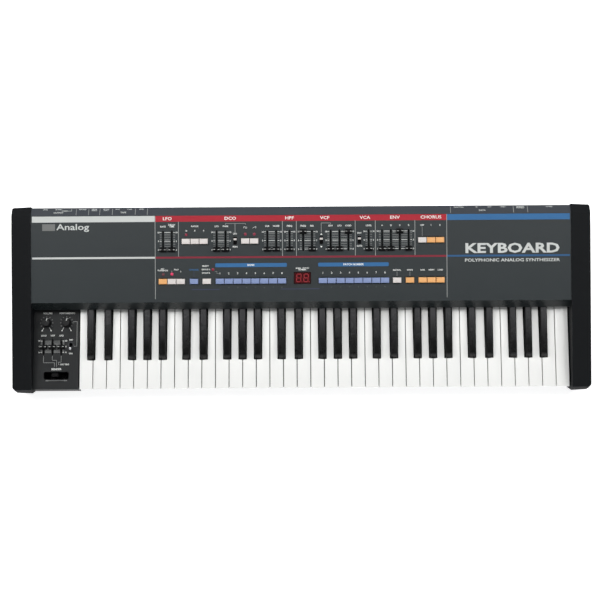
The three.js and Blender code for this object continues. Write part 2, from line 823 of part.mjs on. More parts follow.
add(body, "bender_gimbal", benderGimbal(), FINISH.cap, BENDER.x, BENDER.y, BENDER.z);
add(body, "bender_lever", benderLever(), FINISH.cap, BENDER.x, BENDER.y, BENDER.z);

export default synthesizer;
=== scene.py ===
import json
import math

import bmesh
import bpy
from mathutils import Matrix, Vector


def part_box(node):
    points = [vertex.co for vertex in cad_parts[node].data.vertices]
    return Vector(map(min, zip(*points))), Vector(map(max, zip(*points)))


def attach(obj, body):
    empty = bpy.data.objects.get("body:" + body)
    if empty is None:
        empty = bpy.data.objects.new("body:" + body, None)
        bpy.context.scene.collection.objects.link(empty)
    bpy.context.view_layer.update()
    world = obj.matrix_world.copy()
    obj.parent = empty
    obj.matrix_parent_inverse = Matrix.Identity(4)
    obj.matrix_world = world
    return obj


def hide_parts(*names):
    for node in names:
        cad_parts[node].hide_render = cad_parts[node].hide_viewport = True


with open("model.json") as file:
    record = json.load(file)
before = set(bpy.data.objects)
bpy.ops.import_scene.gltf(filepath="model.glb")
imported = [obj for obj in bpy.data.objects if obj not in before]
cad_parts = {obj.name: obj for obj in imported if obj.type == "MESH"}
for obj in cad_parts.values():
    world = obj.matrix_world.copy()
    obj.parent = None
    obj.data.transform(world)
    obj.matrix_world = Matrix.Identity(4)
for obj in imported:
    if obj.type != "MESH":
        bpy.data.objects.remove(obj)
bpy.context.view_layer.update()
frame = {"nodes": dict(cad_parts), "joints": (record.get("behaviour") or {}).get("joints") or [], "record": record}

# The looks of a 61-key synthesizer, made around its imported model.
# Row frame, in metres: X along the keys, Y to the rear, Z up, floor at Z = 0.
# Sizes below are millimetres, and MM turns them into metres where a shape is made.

MM = 0.001
NODES = frame["nodes"]
PANEL_TILT = math.radians(8)
STRIP_TILT = math.radians(-25)


# ---------------------------------------------------------------- camera, lights and floor

CAMERA_TARGET = Vector((-0.0023, -0.0055, 0.0976))
CAMERA_DISTANCE = 2.45
CAMERA_LENS = 85.83
CAMERA_ROLL = -0.0065


def make_camera():
    """Looks straight down on the sloping panel, from a little in front of the keys."""
    data = bpy.data.cameras.new("camera")
    data.lens = CAMERA_LENS
    data.sensor_width = 36
    data.clip_end = 200
    camera = bpy.data.objects.new("camera", data)
    bpy.context.scene.collection.objects.link(camera)
    turn = Matrix.Rotation(PANEL_TILT, 4, "X") @ Matrix.Rotation(CAMERA_ROLL, 4, "Z")
    place = Matrix.Translation(CAMERA_TARGET) @ turn
    camera.matrix_world = place @ Matrix.Translation((0, 0, CAMERA_DISTANCE))
    bpy.context.scene.camera = camera


def area_light(name, place, size, power):
    """A soft light that faces the middle of the object."""
    data = bpy.data.lights.new(name, "AREA")
    data.shape = "RECTANGLE"
    data.size, data.size_y = size
    data.energy = power
    lamp = bpy.data.objects.new(name, data)
    bpy.context.scene.collection.objects.link(lamp)
    lamp.location = place
    lamp.rotation_euler = (-Vector(place)).to_track_quat("-Z", "Y").to_euler()


WORLD_ZENITH = 0.12
WORLD_HORIZON = 0.55
WORLD_FADE = (0.25, 0.95)


def make_studio():
    """A room that is dark overhead and pale at its walls, with soft lights round the object."""
    world = bpy.data.worlds.new("studio")
    bpy.context.scene.world = world
    world.use_nodes = True
    tree = world.node_tree
    background = tree.nodes["Background"]
    background.inputs["Color"].default_value = (0.95, 0.97, 1.0, 1.0)
    direction = tree.nodes.new("ShaderNodeTexCoord")
    split = tree.nodes.new("ShaderNodeSeparateXYZ")
    link(tree, direction, "Generated", split, "Vector")
    height = map_range(tree, split, "Z", WORLD_FADE, (WORLD_HORIZON, WORLD_ZENITH))
    link(tree, height, "Result", background, "Strength")
    area_light("rear_left_softbox", (-1.3, 0.9, 1.9), (1.3, 1.1), 23)
    area_light("rear_right_softbox", (1.5, 0.8, 1.8), (1.3, 1.1), 21)
    area_light("front_softbox", (0.3, -1.9, 1.5), (2.4, 0.9), 9)
    area_light("overhead_softbox", (0.0, 0.36, 2.45), (2.6, 0.5), 15)


# ---------------------------------------------------------------- materials


def screen_colour(red, green, blue):
    """The linear colour that shows as these 0 to 255 screen values."""

    def linear(value):
        value /= 255
        return value / 12.92 if value <= 0.04045 else ((value + 0.055) / 1.055) ** 2.4

    return (linear(red), linear(green), linear(blue), 1.0)


def link(tree, source, socket, target, name):
    tree.links.new(source.outputs[socket], target.inputs[name])


def noise(tree, coordinates, scale, detail):
    node = tree.nodes.new("ShaderNodeTexNoise")
    node.inputs["Scale"].default_value = scale
    node.inputs["Detail"].default_value = detail
    link(tree, coordinates, "Object", node, "Vector")
    return node


def map_range(tree, source, socket, before, after=(0.0, 1.0)):
    """Maps an output from one range of values to another."""
    node = tree.nodes.new("ShaderNodeMapRange")
    for name, value in zip(("From Min", "From Max", "To Min", "To Max"), (*before, *after)):
        node.inputs[name].default_value = value
    link(tree, source, socket, node, "Value")
    return node


def mix_base_colour(tree, shader, amount, socket, ramp, ramp_side, colour):
    """The base colour goes from A to B with the amount. The ramp is on one side of the mix, and
    the plain colour is on the other."""
    mix = tree.nodes.new("ShaderNodeMix")
    mix.data_type = "RGBA"
    mix.inputs["B" if ramp_side == "A" else "A"].default_value = colour
    link(tree, amount, socket, mix, "Factor")
    link(tree, ramp, "Color", mix, ramp_side)
    link(tree, mix, "Result", shader, "Base Color")


def make_material(name, colour, roughness, metallic=0.0, mottle=0.10, grain=None, pits=None,
                  brushed=None, specular=0.5, coat=0.0, glow=None, wear=None, smears=0.07,
                  along=None):
    """A finish with cloudy colour and roughness.

    mottle and smears are how far the colour and the roughness vary. grain is (size, depth) in mm of
    a fine bump, pits the same for a moulded spark texture, and brushed the spacing of fine drawn
    lines. wear is the paler colour that shows where edges are rubbed. along is (front Y, rear Y,
    colour), in metres, of a painted sheen: the base colour is that dark colour at the front and
    turns to the paler finish toward the rear."""
    material = bpy.data.materials.new(name)
    material.use_nodes = True
    tree = material.node_tree
    shader = tree.nodes["Principled BSDF"]
    shader.inputs["Metallic"].default_value = metallic
    shader.inputs["Specular IOR Level"].default_value = specular
    shader.inputs["Coat Weight"].default_value = coat
    shader.inputs["Coat Roughness"].default_value = 0.12
    if glow:
        shader.inputs["Emission Color"].default_value = colour
        shader.inputs["Emission Strength"].default_value = glow
    coordinates = tree.nodes.new("ShaderNodeTexCoord")

    cloud = noise(tree, coordinates, 14, 5)
    speck = noise(tree, coordinates, 900, 2)
    blend = tree.nodes.new("ShaderNodeMath")
    blend.operation = "MULTIPLY_ADD"
    blend.inputs[1].default_value = 0.35
    link(tree, speck, "Fac", blend, 0)
    link(tree, cloud, "Fac", blend, 2)
    ramp = tree.nodes.new("ShaderNodeValToRGB")
    ramp.color_ramp.elements[0].position = 0.45
    ramp.color_ramp.elements[1].position = 0.90
    ramp.color_ramp.elements[0].color = [c * (1 - mottle) for c in colour[:3]] + [1]
    ramp.color_ramp.elements[1].color = [min(1, c * (1 + mottle)) for c in colour[:3]] + [1]
    link(tree, blend, "Value", ramp, "Fac")
    if wear:
        rub_edges(tree, ramp, shader, noise(tree, coordinates, 160, 4), wear)
    elif along:
        paint_sheen_along(tree, ramp, shader, coordinates, *along)
    else:
        link(tree, ramp, "Color", shader, "Base Color")

    smear = noise(tree, coordinates, 45, 4)
    spread = map_range(tree, smear, "Fac", (0.3, 0.7),
                       (max(0.02, roughness - smears), min(1.0, roughness + smears)))
    link(tree, spread, "Result", shader, "Roughness")

    last = None
    for texture, size in bump_textures(tree, coordinates, grain, pits, brushed):
        bump = tree.nodes.new("ShaderNodeBump")
        bump.inputs["Distance"].default_value = size * MM
        bump.inputs["Strength"].default_value = 1.0
        tree.links.new(texture, bump.inputs["Height"])
        if last:
            link(tree, last, "Normal", bump, "Normal")
        last = bump
    if last:
        link(tree, last, "Normal", shader, "Normal")
    return material


def paint_sheen_along(tree, ramp, shader, coordinates, front, rear, colour):
    """Paints a sheen: blends from the dark colour at the front to the paler finish at the rear, in metres along Y.
    """
    split = tree.nodes.new("ShaderNodeSeparateXYZ")
    link(tree, coordinates, "Object", split, "Vector")
    amount = map_range(tree, split, "Y", (front, rear))
    mix_base_colour(tree, shader, amount, "Result", ramp, "B", colour)


EDGE_REACH = 1.2


def rub_edges(tree, ramp, shader, patches, wear):
    """Mixes the paler colour in along the edges, in patches."""
    rounded = tree.nodes.new("ShaderNodeBevel")
    rounded.samples = 4
    rounded.inputs["Radius"].default_value = EDGE_REACH * MM
    facing = tree.nodes.new("ShaderNodeNewGeometry")
    spread = tree.nodes.new("ShaderNodeVectorMath")
    spread.operation = "DOT_PRODUCT"
    link(tree, rounded, "Normal", spread, 0)
    link(tree, facing, "True Normal", spread, 1)
    edge = map_range(tree, spread, "Value", (0.97, 0.75))
    patchy = map_range(tree, patches, "Fac", (0.42, 0.68))
    amount = tree.nodes.new("ShaderNodeMath")
    amount.operation = "MULTIPLY"
    link(tree, edge, "Result", amount, 0)
    link(tree, patchy, "Result", amount, 1)
    mix_base_colour(tree, shader, amount, "Value", ramp, "A", wear)


def bump_textures(tree, coordinates, grain, pits, brushed):
    """The height outputs of a material's bumps, each with its depth in mm."""
    if grain:
        yield noise(tree, coordinates, 1000 / grain[0], 3).outputs["Fac"], grain[1]
    if pits:
        cells = tree.nodes.new("ShaderNodeTexVoronoi")
        cells.inputs["Scale"].default_value = 1000 / pits[0]
        link(tree, coordinates, "Object", cells, "Vector")
        yield cells.outputs["Distance"], pits[1]
    if brushed:
        stretch = tree.nodes.new("ShaderNodeMapping")
        stretch.inputs["Scale"].default_value = (1.0, 30.0, 30.0)
        link(tree, coordinates, "Object", stretch, "Vector")
        lines = tree.nodes.new("ShaderNodeTexNoise")
        lines.inputs["Scale"].default_value = 1000 / brushed
        link(tree, stretch, "Vector", lines, "Vector")
        yield lines.outputs["Fac"], 0.01


INK_COLOURS = {
    "white_ink": (197, 200, 197),
    "small_ink": (236, 238, 234),
    "grey_ink": (150, 152, 150),
    "dim_ink": (112, 114, 112),
    "red_ink": (166, 24, 42),
    "wine_ink": (126, 28, 46),
    "blue_ink": (44, 100, 150),
    "sea_ink": (38, 82, 124),
    "navy_ink": (56, 62, 92),
}


def make_materials():
    """Every finish by its short name: its full name, screen colour, roughness and texture."""
    paint = dict(grain=(0.7, 0.03), mottle=0.04, smears=0.035, specular=0.38)
    rubbed_paint = dict(paint, wear=screen_colour(96, 100, 100))
    rubbed_case = dict(paint, wear=screen_colour(54, 57, 58))
    ink = dict(grain=(0.35, 0.012), mottle=0.05, specular=0.35)
    button = dict(grain=(0.25, 0.012), mottle=0.04, specular=0.4)
    finishes = {
        "panel": ("panel_paint", (39, 45, 47), 0.42, rubbed_paint),
        "strip": ("rear_strip_paint", (56, 60, 66), 0.42, rubbed_paint),
        # The front lip gets a darker copy of the panel paint: painted shade on the lip, which faces down to the
        # front.
        "lip": ("panel_lip_painted_shade", (21, 27, 28), 0.28, rubbed_paint),
        "case": ("case_paint", (34, 37, 38), 0.55, rubbed_case),
        "cheek": ("cheek_plastic", (15, 17, 19), 0.6,
                  dict(pits=(0.55, 0.045), mottle=0.05, specular=0.12, smears=0.03,
                       wear=screen_colour(58, 60, 62))),
        "bender": ("bender_plastic", (24, 26, 27), 0.55,
                   dict(pits=(0.5, 0.05), mottle=0.05, specular=0.3, smears=0.03,
                        wear=screen_colour(60, 62, 64))),
        "white_key": ("white_key", (242, 242, 239), 0.2,
                      dict(grain=(2.5, 0.01), mottle=0.015, coat=0.15)),
        # The black key tops carry a painted sheen, paler at the rear and dark at the front; the flanks keep a
        # plain dark colour without it.
        "black_key": ("black_key", (42, 42, 44), 0.26,
                      dict(grain=(0.6, 0.006), mottle=0.15, specular=0.25,
                           along=(-0.080, -0.030, screen_colour(5, 5, 5)))),
        "black_side": ("black_key_side", (8, 8, 9), 0.7,
                       dict(grain=(0.6, 0.006), mottle=0.15, specular=0.1)),
        "cap": ("cap_plastic", (9, 10, 11), 0.42,
                dict(grain=(0.25, 0.02), mottle=0.15, specular=0.2)),
        "deep": ("black_plastic", (5, 5, 6), 0.55,
                 dict(grain=(0.25, 0.01), mottle=0.15, specular=0.12)),
        "white_button": ("white_button", (214, 208, 204), 0.45, button),
        "orange_button": ("orange_button", (230, 170, 108), 0.45, button),
        "lilac_button": ("blue_button", (128, 144, 184), 0.45, button),
        "window": ("red_window", (66, 4, 8), 0.12, dict(mottle=0.05, coat=0.4)),
        "digit": ("display_segment", (150, 34, 42), 0.35, dict(mottle=0.04, glow=0.12)),
        "steel": ("plated_steel", (176, 178, 176), 0.34,
                  dict(metallic=1.0, brushed=0.6, mottle=0.1)),
        # A darkened copy of the plated steel for the key frame: painted shade that makes the gaps between the keys
        # read dark.
        "painted_shade_steel": ("painted_shade_steel", (58, 59, 60), 0.45,
                       dict(metallic=1.0, brushed=0.6, mottle=0.1)),
        "chrome": ("switch_chrome", (222, 224, 226), 0.12,
                   dict(metallic=1.0, mottle=0.03, grain=(0.8, 0.003))),
        "screw": ("black_screw", (52, 53, 55), 0.36,
                  dict(metallic=1.0, mottle=0.12, grain=(0.3, 0.01))),
        "board": ("circuit_board", (42, 84, 50), 0.5, dict(grain=(1.2, 0.03), mottle=0.15)),
        "socket": ("socket_plastic", (16, 16, 17), 0.42, dict(grain=(0.3, 0.015), mottle=0.12)),
        "gold": ("socket_contact", (206, 178, 106), 0.25,
                 dict(metallic=1.0, mottle=0.05, grain=(0.5, 0.004))),
        "lamp": ("lamp_red", (134, 34, 58), 0.3, dict(mottle=0.04, grain=(0.4, 0.01), coat=0.2)),
        "lamp_lit": ("lamp_red_lit", (204, 52, 92), 0.3,
                     dict(mottle=0.03, grain=(0.4, 0.01), glow=0.25)),
        "lamp_dim": ("lamp_red_dim", (92, 34, 44), 0.3,
                     dict(mottle=0.04, grain=(0.4, 0.01), coat=0.2)),
        "rubber": ("foot_rubber", (26, 26, 27), 0.72, dict(grain=(0.5, 0.04), mottle=0.15)),
    }
    for name, colour in INK_COLOURS.items():
        finishes[name] = (name, colour, 0.5, ink)
    return {key: make_material(name, screen_colour(*colour), roughness, **options)
            for key, (name, colour, roughness, options) in finishes.items()}


# ---------------------------------------------------------------- frames of the surfaces


def surface_frame(tilt, at_front):
    """The frame of a top panel face: its origin on the face's front or rear edge, Z out of it."""
    turn = Matrix.Rotation(-tilt, 4, "X")
    points = [turn @ vertex.co for vertex in NODES["top_panel"].data.vertices]
    top = max(point.z for point in points)
    face = [point.y for point in points if top - point.z < 0.02 * MM]
    edge = min(face) if at_front else max(face)
    return Matrix.Rotation(tilt, 4, "X") @ Matrix.Translation((0, edge, top))


PANEL = surface_frame(PANEL_TILT, at_front=True)
STRIP = surface_frame(STRIP_TILT, at_front=False)
BENDER_TOP = Matrix.Translation((0, 0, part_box("bender_panel")[1].z))
ROW = Matrix.Identity(4)


def box_in(node, place):
    """A node's lowest and highest corner in a frame, in mm."""
    back = place.inverted()
    points = [back @ vertex.co for vertex in NODES[node].data.vertices]
    low = Vector([min(point[i] for point in points) for i in range(3)]) / MM
    high = Vector([max(point[i] for point in points) for i in range(3)]) / MM
    return low, high


def middle(node, place):
    low, high = box_in(node, place)
    return (low + high) / 2


# ---------------------------------------------------------------- making pieces


class Piece:
    """One visible piece.

    Shapes are added in millimetres in the frame `place`, each with the number of its material,
    and make() turns them into an object that rides on a body."""

    def __init__(self, name, body, slot, *materials, place=ROW):
        self.name = name
        self.body = body
        self.slot = slot
        self.materials = materials
        self.place = place
        self.shapes = bmesh.new()

    def add(self, shape, material=0, place=None):
        for face in shape.faces:
            face.material_index = material
            face.smooth = True
        shape.transform(place or ROW)
        mesh = bpy.data.meshes.new("shape")
        shape.to_mesh(mesh)
        shape.free()
        self.shapes.from_mesh(mesh)
        bpy.data.meshes.remove(mesh)

    def block(self, x, y, z, bevel=0.0, material=0, place=None, steps=2):
        self.add(block_shape(x, y, z, bevel, steps), material, place)

    def lathe(self, outline, centre=(0, 0, 0), sides=32, material=0, place=None):
        turned = lathe_shape(outline, sides)
        turned.transform(Matrix.Translation(centre))
        self.add(turned, material, place)

    def plate(self, outline, low, high, bevel=0.0, material=0, place=None, steps=2):
        self.add(plate_shape(outline, low, high, bevel, steps), material, place)

    def text(self, words, x, y, height, material=0, weight=0.02, stretch=1.0, low=-0.02,
             high=0.05):
        self.add(text_shape(words, height, weight, stretch, low, high), material,
                 Matrix.Translation((x, y, 0)))

    def make(self, replaces=(), sharp=35, soften=0.0):
        self.shapes.transform(self.place @ Matrix.Scale(MM, 4))
        mesh = bpy.data.meshes.new(self.name)
        self.shapes.to_mesh(mesh)
        self.shapes.free()
        mesh.set_sharp_from_angle(angle=math.radians(sharp))
        for material in self.materials:
            mesh.materials.append(MATERIALS[material])
        piece = bpy.data.objects.new(self.name, mesh)
        bpy.context.scene.collection.objects.link(piece)
        if soften:
            soften_edges(piece, soften)
        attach(piece, self.body)
        if replaces:
            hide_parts(*replaces)
        return piece


SOFT_ANGLE = 30


def soften_edges(piece, width, steps=2):
    """Rounds the edges of a piece that are sharper than SOFT_ANGLE degrees."""
    bevel = piece.modifiers.new("soft_edges", "BEVEL")
    bevel.width = width * MM
    bevel.segments = steps
    bevel.limit_method = "ANGLE"
    bevel.angle_limit = math.radians(SOFT_ANGLE)
    bevel.harden_normals = True


def bevel_edges(shape, edges, width, steps):
    bmesh.ops.bevel(shape, geom=edges, offset=width, segments=steps, profile=0.5, affect="EDGES")


def bridge(shape, rings):
    """Walls of quads between each ring of points and the next."""
    count = len(rings[0])
    for lower, upper in zip(rings, rings[1:]):
        for i in range(count):
            j = (i + 1) % count
            shape.faces.new((lower[i], lower[j], upper[j], upper[i]))


def block_shape(x, y, z, bevel=0.0, steps=2):
    """A box between the ends of three ranges, with round edges."""
    shape = bmesh.new()
    bmesh.ops.create_cube(shape, size=1)
    size = (x[1] - x[0], y[1] - y[0], z[1] - z[0])
    centre = ((x[0] + x[1]) / 2, (y[0] + y[1]) / 2, (z[0] + z[1]) / 2)
    shape.transform(Matrix.Translation(centre) @ Matrix.Diagonal((*size, 1)))
    if bevel:
        bevel_edges(shape, shape.edges[:], bevel, steps)
    return shape


def plate_shape(outline, low, high, bevel=0.0, steps=2):
    """An outline of (x, y) points, anticlockwise, between two heights, with its top edge bevelled."""
    shape = bmesh.new()
    bottom = [shape.verts.new((u, v, low)) for u, v in outline]
    top = [shape.verts.new((u, v, high)) for u, v in outline]
    shape.faces.new(bottom[::-1])
    lid = shape.faces.new(top)
    bridge(shape, (bottom, top))
    if bevel:
        bevel_edges(shape, lid.edges[:], bevel, steps)
    return shape


def lathe_shape(outline, sides=32):
    """An outline of (radius, z) points turned round Z. It starts and ends on the axis."""
    shape = bmesh.new()
    rings = []
    for radius, z in outline:
        if radius <= 0:
            rings.append([shape.verts.new((0, 0, z))])
            continue
        angles = [2 * math.pi * i / sides for i in range(sides)]
        rings.append([shape.verts.new((radius * math.cos(a), radius * math.sin(a), z))
                      for a in angles])
    for lower, upper in zip(rings, rings[1:]):
        for i in range(sides):
            j = (i + 1) % sides
            corners = [lower[i % len(lower)], lower[j % len(lower)],
                       upper[j % len(upper)], upper[i % len(upper)]]
            face = list(dict.fromkeys(corners))
            if len(face) > 2:
                shape.faces.new(face)
    bmesh.ops.recalc_face_normals(shape, faces=shape.faces[:])
    return shape


def rounded_rectangle(x, y, radius, steps=3):
    """The anticlockwise outline of a rectangle with round corners."""
    centres = [(x[1] - radius, y[1] - radius), (x[0] + radius, y[1] - radius),
               (x[0] + radius, y[0] + radius), (x[1] - radius, y[0] + radius)]
    outline = []
    for corner, (u, v) in enumerate(centres):
        for step in range(steps + 1):
            angle = math.pi / 2 * (corner + step / steps)
            outline.append((u + radius * math.cos(angle), v + radius * math.sin(angle)))
    return outline


def ring_shape(outer, inner, low, high):
    """The solid between two outlines with the same number of points."""
    shape = bmesh.new()
    rings = [[shape.verts.new((u, v, z)) for u, v in outline]
             for outline, z in ((outer, low), (outer, high), (inner, high), (inner, low))]
    bridge(shape, rings + rings[:1])
    bmesh.ops.recalc_face_normals(shape, faces=shape.faces[:])
    return shape


CIRCLE_POINTS = 24


def ring_of(centre, radius, count=CIRCLE_POINTS):
    """The outline of a circle."""
    angles = [2 * math.pi * i / count for i in range(count)]
    return [(centre.x + radius * math.cos(a), centre.y + radius * math.sin(a)) for a in angles]


def smooth_hexagon(centre, reach):
    """As many points round a hexagon as a circle has, so that it can face a round hole."""
    points = []
    for i in range(CIRCLE_POINTS):
        angle = 2 * math.pi / CIRCLE_POINTS * i
        local = (angle % (math.pi / 3)) - math.pi / 6
        distance = reach * math.cos(math.pi / 6) / math.cos(local)
        points.append((centre.x + distance * math.cos(angle),
                       centre.y + distance * math.sin(angle)))
    return points


CAP_HEIGHT_OF_SIZE = 0.682
LINE_SPACE = 0.78


def text_shape(words, height, weight, stretch, low, high):
    """Flat closed letters round the origin. height is that of a capital."""
    curve = bpy.data.curves.new("words", "FONT")
    curve.body = words
    curve.size = height / CAP_HEIGHT_OF_SIZE
    curve.align_x = "CENTER"
    curve.align_y = "CENTER"
    curve.space_line = LINE_SPACE
    curve.resolution_u = 2
    curve.offset = weight * height
    curve.extrude = (high - low) / 2
    holder = bpy.data.objects.new("words", curve)
    mesh = bpy.data.meshes.new_from_object(holder)
    shape = bmesh.new()
    shape.from_mesh(mesh)
    bmesh.ops.remove_doubles(shape, verts=shape.verts[:], dist=1e-4)
    middle_z = (high + low) / 2
    shape.transform(Matrix.Translation((0, 0, middle_z)) @ Matrix.Diagonal((stretch, 1, 1, 1)))
    bpy.data.meshes.remove(mesh)
    bpy.data.objects.remove(holder)
    bpy.data.curves.remove(curve)
    return shape


# ---------------------------------------------------------------- keys

OCTAVES = 5
KEYS_IN_OCTAVE = 7
KEY_GAP = 1.0
KEY_TOP_THICK = 8.0
KEY_SKIRT = 2.4
KEY_LIP = 1.2
KEY_SIDE = 0.2
KEY_WALL = 1.0
KEY_WALL_DEPTH = 5
KEY_OVERLAP = 0.01
NARROW_FROM = 56.2
COMB_START = 198.0
BLACK_SLOT = 15.6
BLACK_CENTRES = (20.4, 50.1, 90.9, 117.5, 144.1)
BLACK_BRIDGE = (65.5, 70)
BLACK_BASE = 14.2
BLACK_TOP = 10.2
HALF_DEPTH = 160.0


def key_pitch():
    low, high = box_in("white_keys_octave_1", ROW)
    return (high.x - low.x + KEY_GAP) / KEYS_IN_OCTAVE


def white_outline(x0, x1, front, rear, blacks):
    """A white key from above, cut away beside its black neighbours."""
    left = [c + BLACK_SLOT / 2 for c in blacks if c - BLACK_SLOT / 2 < x0 < c + BLACK_SLOT / 2]
    right = [c - BLACK_SLOT / 2 for c in blacks if c - BLACK_SLOT / 2 < x1 < c + BLACK_SLOT / 2]
    narrow = NARROW_FROM - HALF_DEPTH
    outline = [(x0, front), (x1, front)]
    if right:
        outline += [(x1, narrow), (right[0], narrow), (right[0], rear)]
    else:
        outline += [(x1, rear)]
    if left:
        outline += [(left[0], rear), (left[0], narrow), (x0, narrow)]
    else:
        outline += [(x0, rear)]
    return outline


def make_white_keys(octave):
    """The white keys of an octave, each with a front skirt and two side walls, and their comb."""
    node = f"white_keys_octave_{octave}"
    low, high = box_in(node, ROW)
    pitch = key_pitch()
    start = low.x - KEY_GAP / 2
    blacks = [start + c for c in BLACK_CENTRES]
    piece = Piece(f"white_key_set_{octave}", node, "white_key", "white_key")
    count = round((high.x - low.x) / pitch)
    rear = COMB_START - HALF_DEPTH
    under = high.z - KEY_TOP_THICK
    for i in range(count):
        x0 = start + i * pitch + KEY_GAP / 2
        x1 = x0 + pitch - KEY_GAP
        outline = white_outline(x0 + KEY_SIDE, x1 - KEY_SIDE, low.y, rear,
                                blacks if i < KEYS_IN_OCTAVE else [])
        piece.plate(outline, under, high.z, bevel=0.5, steps=3)
        skirt = (low.y + KEY_LIP, low.y + KEY_LIP + KEY_SKIRT)
        piece.block((x0 + 0.5, x1 - 0.5), skirt, (low.z, under + KEY_OVERLAP), bevel=0.4)
        for wall in (x0 + 1.2, x1 - 1.2 - KEY_WALL):
            side = (skirt[1], NARROW_FROM - HALF_DEPTH - 1)
            piece.block((wall, wall + KEY_WALL), side,
                        (under - KEY_WALL_DEPTH, under + KEY_OVERLAP))
    piece.block((low.x, high.x), (rear - KEY_OVERLAP, high.y), (under, high.z - 1), bevel=0.3)
    piece.make(replaces=[node], sharp=40)


def black_shape(x, front, rear, low, high):
    """A black key: upright flanks that lean in, a crowned top, and a front that slopes down."""
    half = BLACK_BASE / 2
    top = BLACK_TOP / 2
    shoulder = 1.3
    crown = 0.9
    section = [(-half, 0.0), (half, 0.0)]
    for step in range(5):
        a = math.pi / 8 * step
        section.append((top - shoulder * (1 - math.cos(a)),
                        1.0 - (shoulder * (1 - math.sin(a)) + crown * 0.4) / (high - low)))
    for u in (2.2, 1.1, 0, -1.1, -2.2):
        section.append((u, 1.0 - crown * 0.3 * (u / top) ** 2 / (high - low)))
    for u, z in section[6:1:-1]:
        section.append((-u, z))
    stations = [(front, 0.30), (front + 1.2, 0.46), (front + 4.4, 0.80), (front + 6.2, 0.94),
                (front + 7.6, 0.985), (front + 9.4, 1.0), (rear, 1.0)]
    shape = bmesh.new()
    rings = []
    for y, rise in stations:
        rings.append([shape.verts.new((x + u, y, low + (high - low) * z * rise))
                      for u, z in section])
    bridge(shape, rings)
    shape.faces.new(rings[0])
    shape.faces.new(rings[-1][::-1])
    bmesh.ops.recalc_face_normals(shape, faces=shape.faces[:])
    return shape


def make_black_keys(octave):
    """The black keys of an octave, whose flanks are duller than their tops, and their bridge. The tops and the
    bridge carry the painted sheen of their finish.
    """
    node = f"black_keys_octave_{octave}"
    low, high = box_in(node, ROW)
    whites, _ = box_in(f"white_keys_octave_{octave}", ROW)
    start = whites.x - KEY_GAP / 2
    piece = Piece(f"black_key_set_{octave}", node, "black_key", "black_key", "black_side")
    for centre in BLACK_CENTRES:
        piece.add(black_shape(start + centre, low.y, high.y - 0.1, low.z, high.z))
    for face in piece.shapes.faces:
        if abs(face.normal.x) > 0.9:
            face.material_index = 1
    piece.block((low.x + 0.1, high.x - 0.1), (high.y - 8, high.y), BLACK_BRIDGE)
    piece.make(replaces=[node], sharp=40)


# ---------------------------------------------------------------- sliders, switches and buttons

CAP_LENGTH = 12.5
CAP_WIDTH = 8.0
CAP_TOP = 8.0
CAP_FOOT = 0.8
LEVER_WIDTH = 1.6
LEVER_DEPTH = 3.0
PANEL_SLOT = (86.5, 123.0)
BENDER_SLOT = (66.0 - HALF_DEPTH, 94.4 - HALF_DEPTH)
BENDER_SLIDERS = ("bender_dco_slider", "bender_vcf_slider", "bender_lfo_slider")


def cap_shape():
    """A slider cap round its own origin: two hollow slopes that rise to a narrow ridge."""
    shape = bmesh.new()
    half_length = CAP_LENGTH / 2
    half_width = CAP_WIDTH / 2
    ridge = 1.1
    section = [(-half_width, CAP_FOOT), (half_width, CAP_FOOT), (half_width, CAP_FOOT + 1.6)]
    curve = 5
    for step in range(curve + 1):
        t = step / curve
        v = half_width + (ridge - half_width) * t
        z = CAP_FOOT + 1.6 + (CAP_TOP - CAP_FOOT - 1.6) * (0.35 * t + 0.65 * t * t)
        if step:
            section.append((v, z))
    for v, z in section[-1:1:-1]:
        section.append((-v, z))
    ends = []
    for side in (-1, 1):
        ring = []
        for v, z in section:
            lean = 0.09 * (z - CAP_FOOT)
            ring.append(shape.verts.new((side * (half_length - lean), v, z)))
        ends.append(ring)
    bridge(shape, ends)
    shape.faces.new(ends[0])
    shape.faces.new(ends[1][::-1])
    bmesh.ops.recalc_face_normals(shape, faces=shape.faces[:])
    sharp = [edge for edge in shape.edges if edge.calc_face_angle(0) > math.radians(35)]
    bevel_edges(shape, sharp, 0.35, 2)
    return shape


def make_slider(node, place):
    """The cap and lever of one slider, in the frame of the surface it slides on."""
    low, high = box_in(node, place)
    x, y, _ = (low + high) / 2
    piece = Piece(node + "_cap", node, "cap_plastic", "cap", "white_ink", "screw", place=place)
    here = Matrix.Translation((x, y, 0))
    piece.add(cap_shape(), 0, here)
    for side in (-1, 1):
        dash = sorted((side * 2.4, side * (CAP_LENGTH / 2 - 1.1)))
        piece.block(dash, (-0.45, 0.45), (CAP_TOP - 0.3, CAP_TOP + 0.04), material=1, place=here)
        for row in (-1, 1):
            for step in range(3):
                v = row * (1.75 + 0.75 * step)
                z = CAP_TOP - 1.55 - 1.25 * step
                rib = sorted((side * 1.2, side * (CAP_LENGTH / 2 - 1.3)))
                piece.block(rib, (v - 0.14, v + 0.14), (z - 0.5, z + 0.22), place=here)
    lever = (low.z, CAP_FOOT + 0.5)
    half = (LEVER_DEPTH / 2, LEVER_WIDTH / 2)
    piece.block((-half[1], half[1]), (-half[0], half[0]), lever, 0.15, material=2, place=here)
    piece.make(replaces=[node], sharp=30)


def make_slot_shades():
    """Two black strips under each slot, which leave a slit for the lever: a dark sheet that paints the shade
    inside the slot.
    """
    panel_sliders = [slider + "_slider" for group in SLIDER_GROUPS for slider, _ in group]
    for name, place, nodes, (low, high) in (
        ("panel_slot_shades", PANEL, panel_sliders, PANEL_SLOT),
        ("bender_slot_shades", BENDER_TOP, BENDER_SLIDERS, BENDER_SLOT),
    ):
        piece = Piece(name, "case", "cap_plastic", "deep", place=place)
        for node in nodes:
            x = middle(node, place).x
            for side in (-1, 1):
                strip = sorted((x + side * (LEVER_WIDTH / 2 + 0.15), x + side * 3.4))
                piece.block(strip, (low - 1, high + 1), (-3.2, -2.5))
        piece.make()


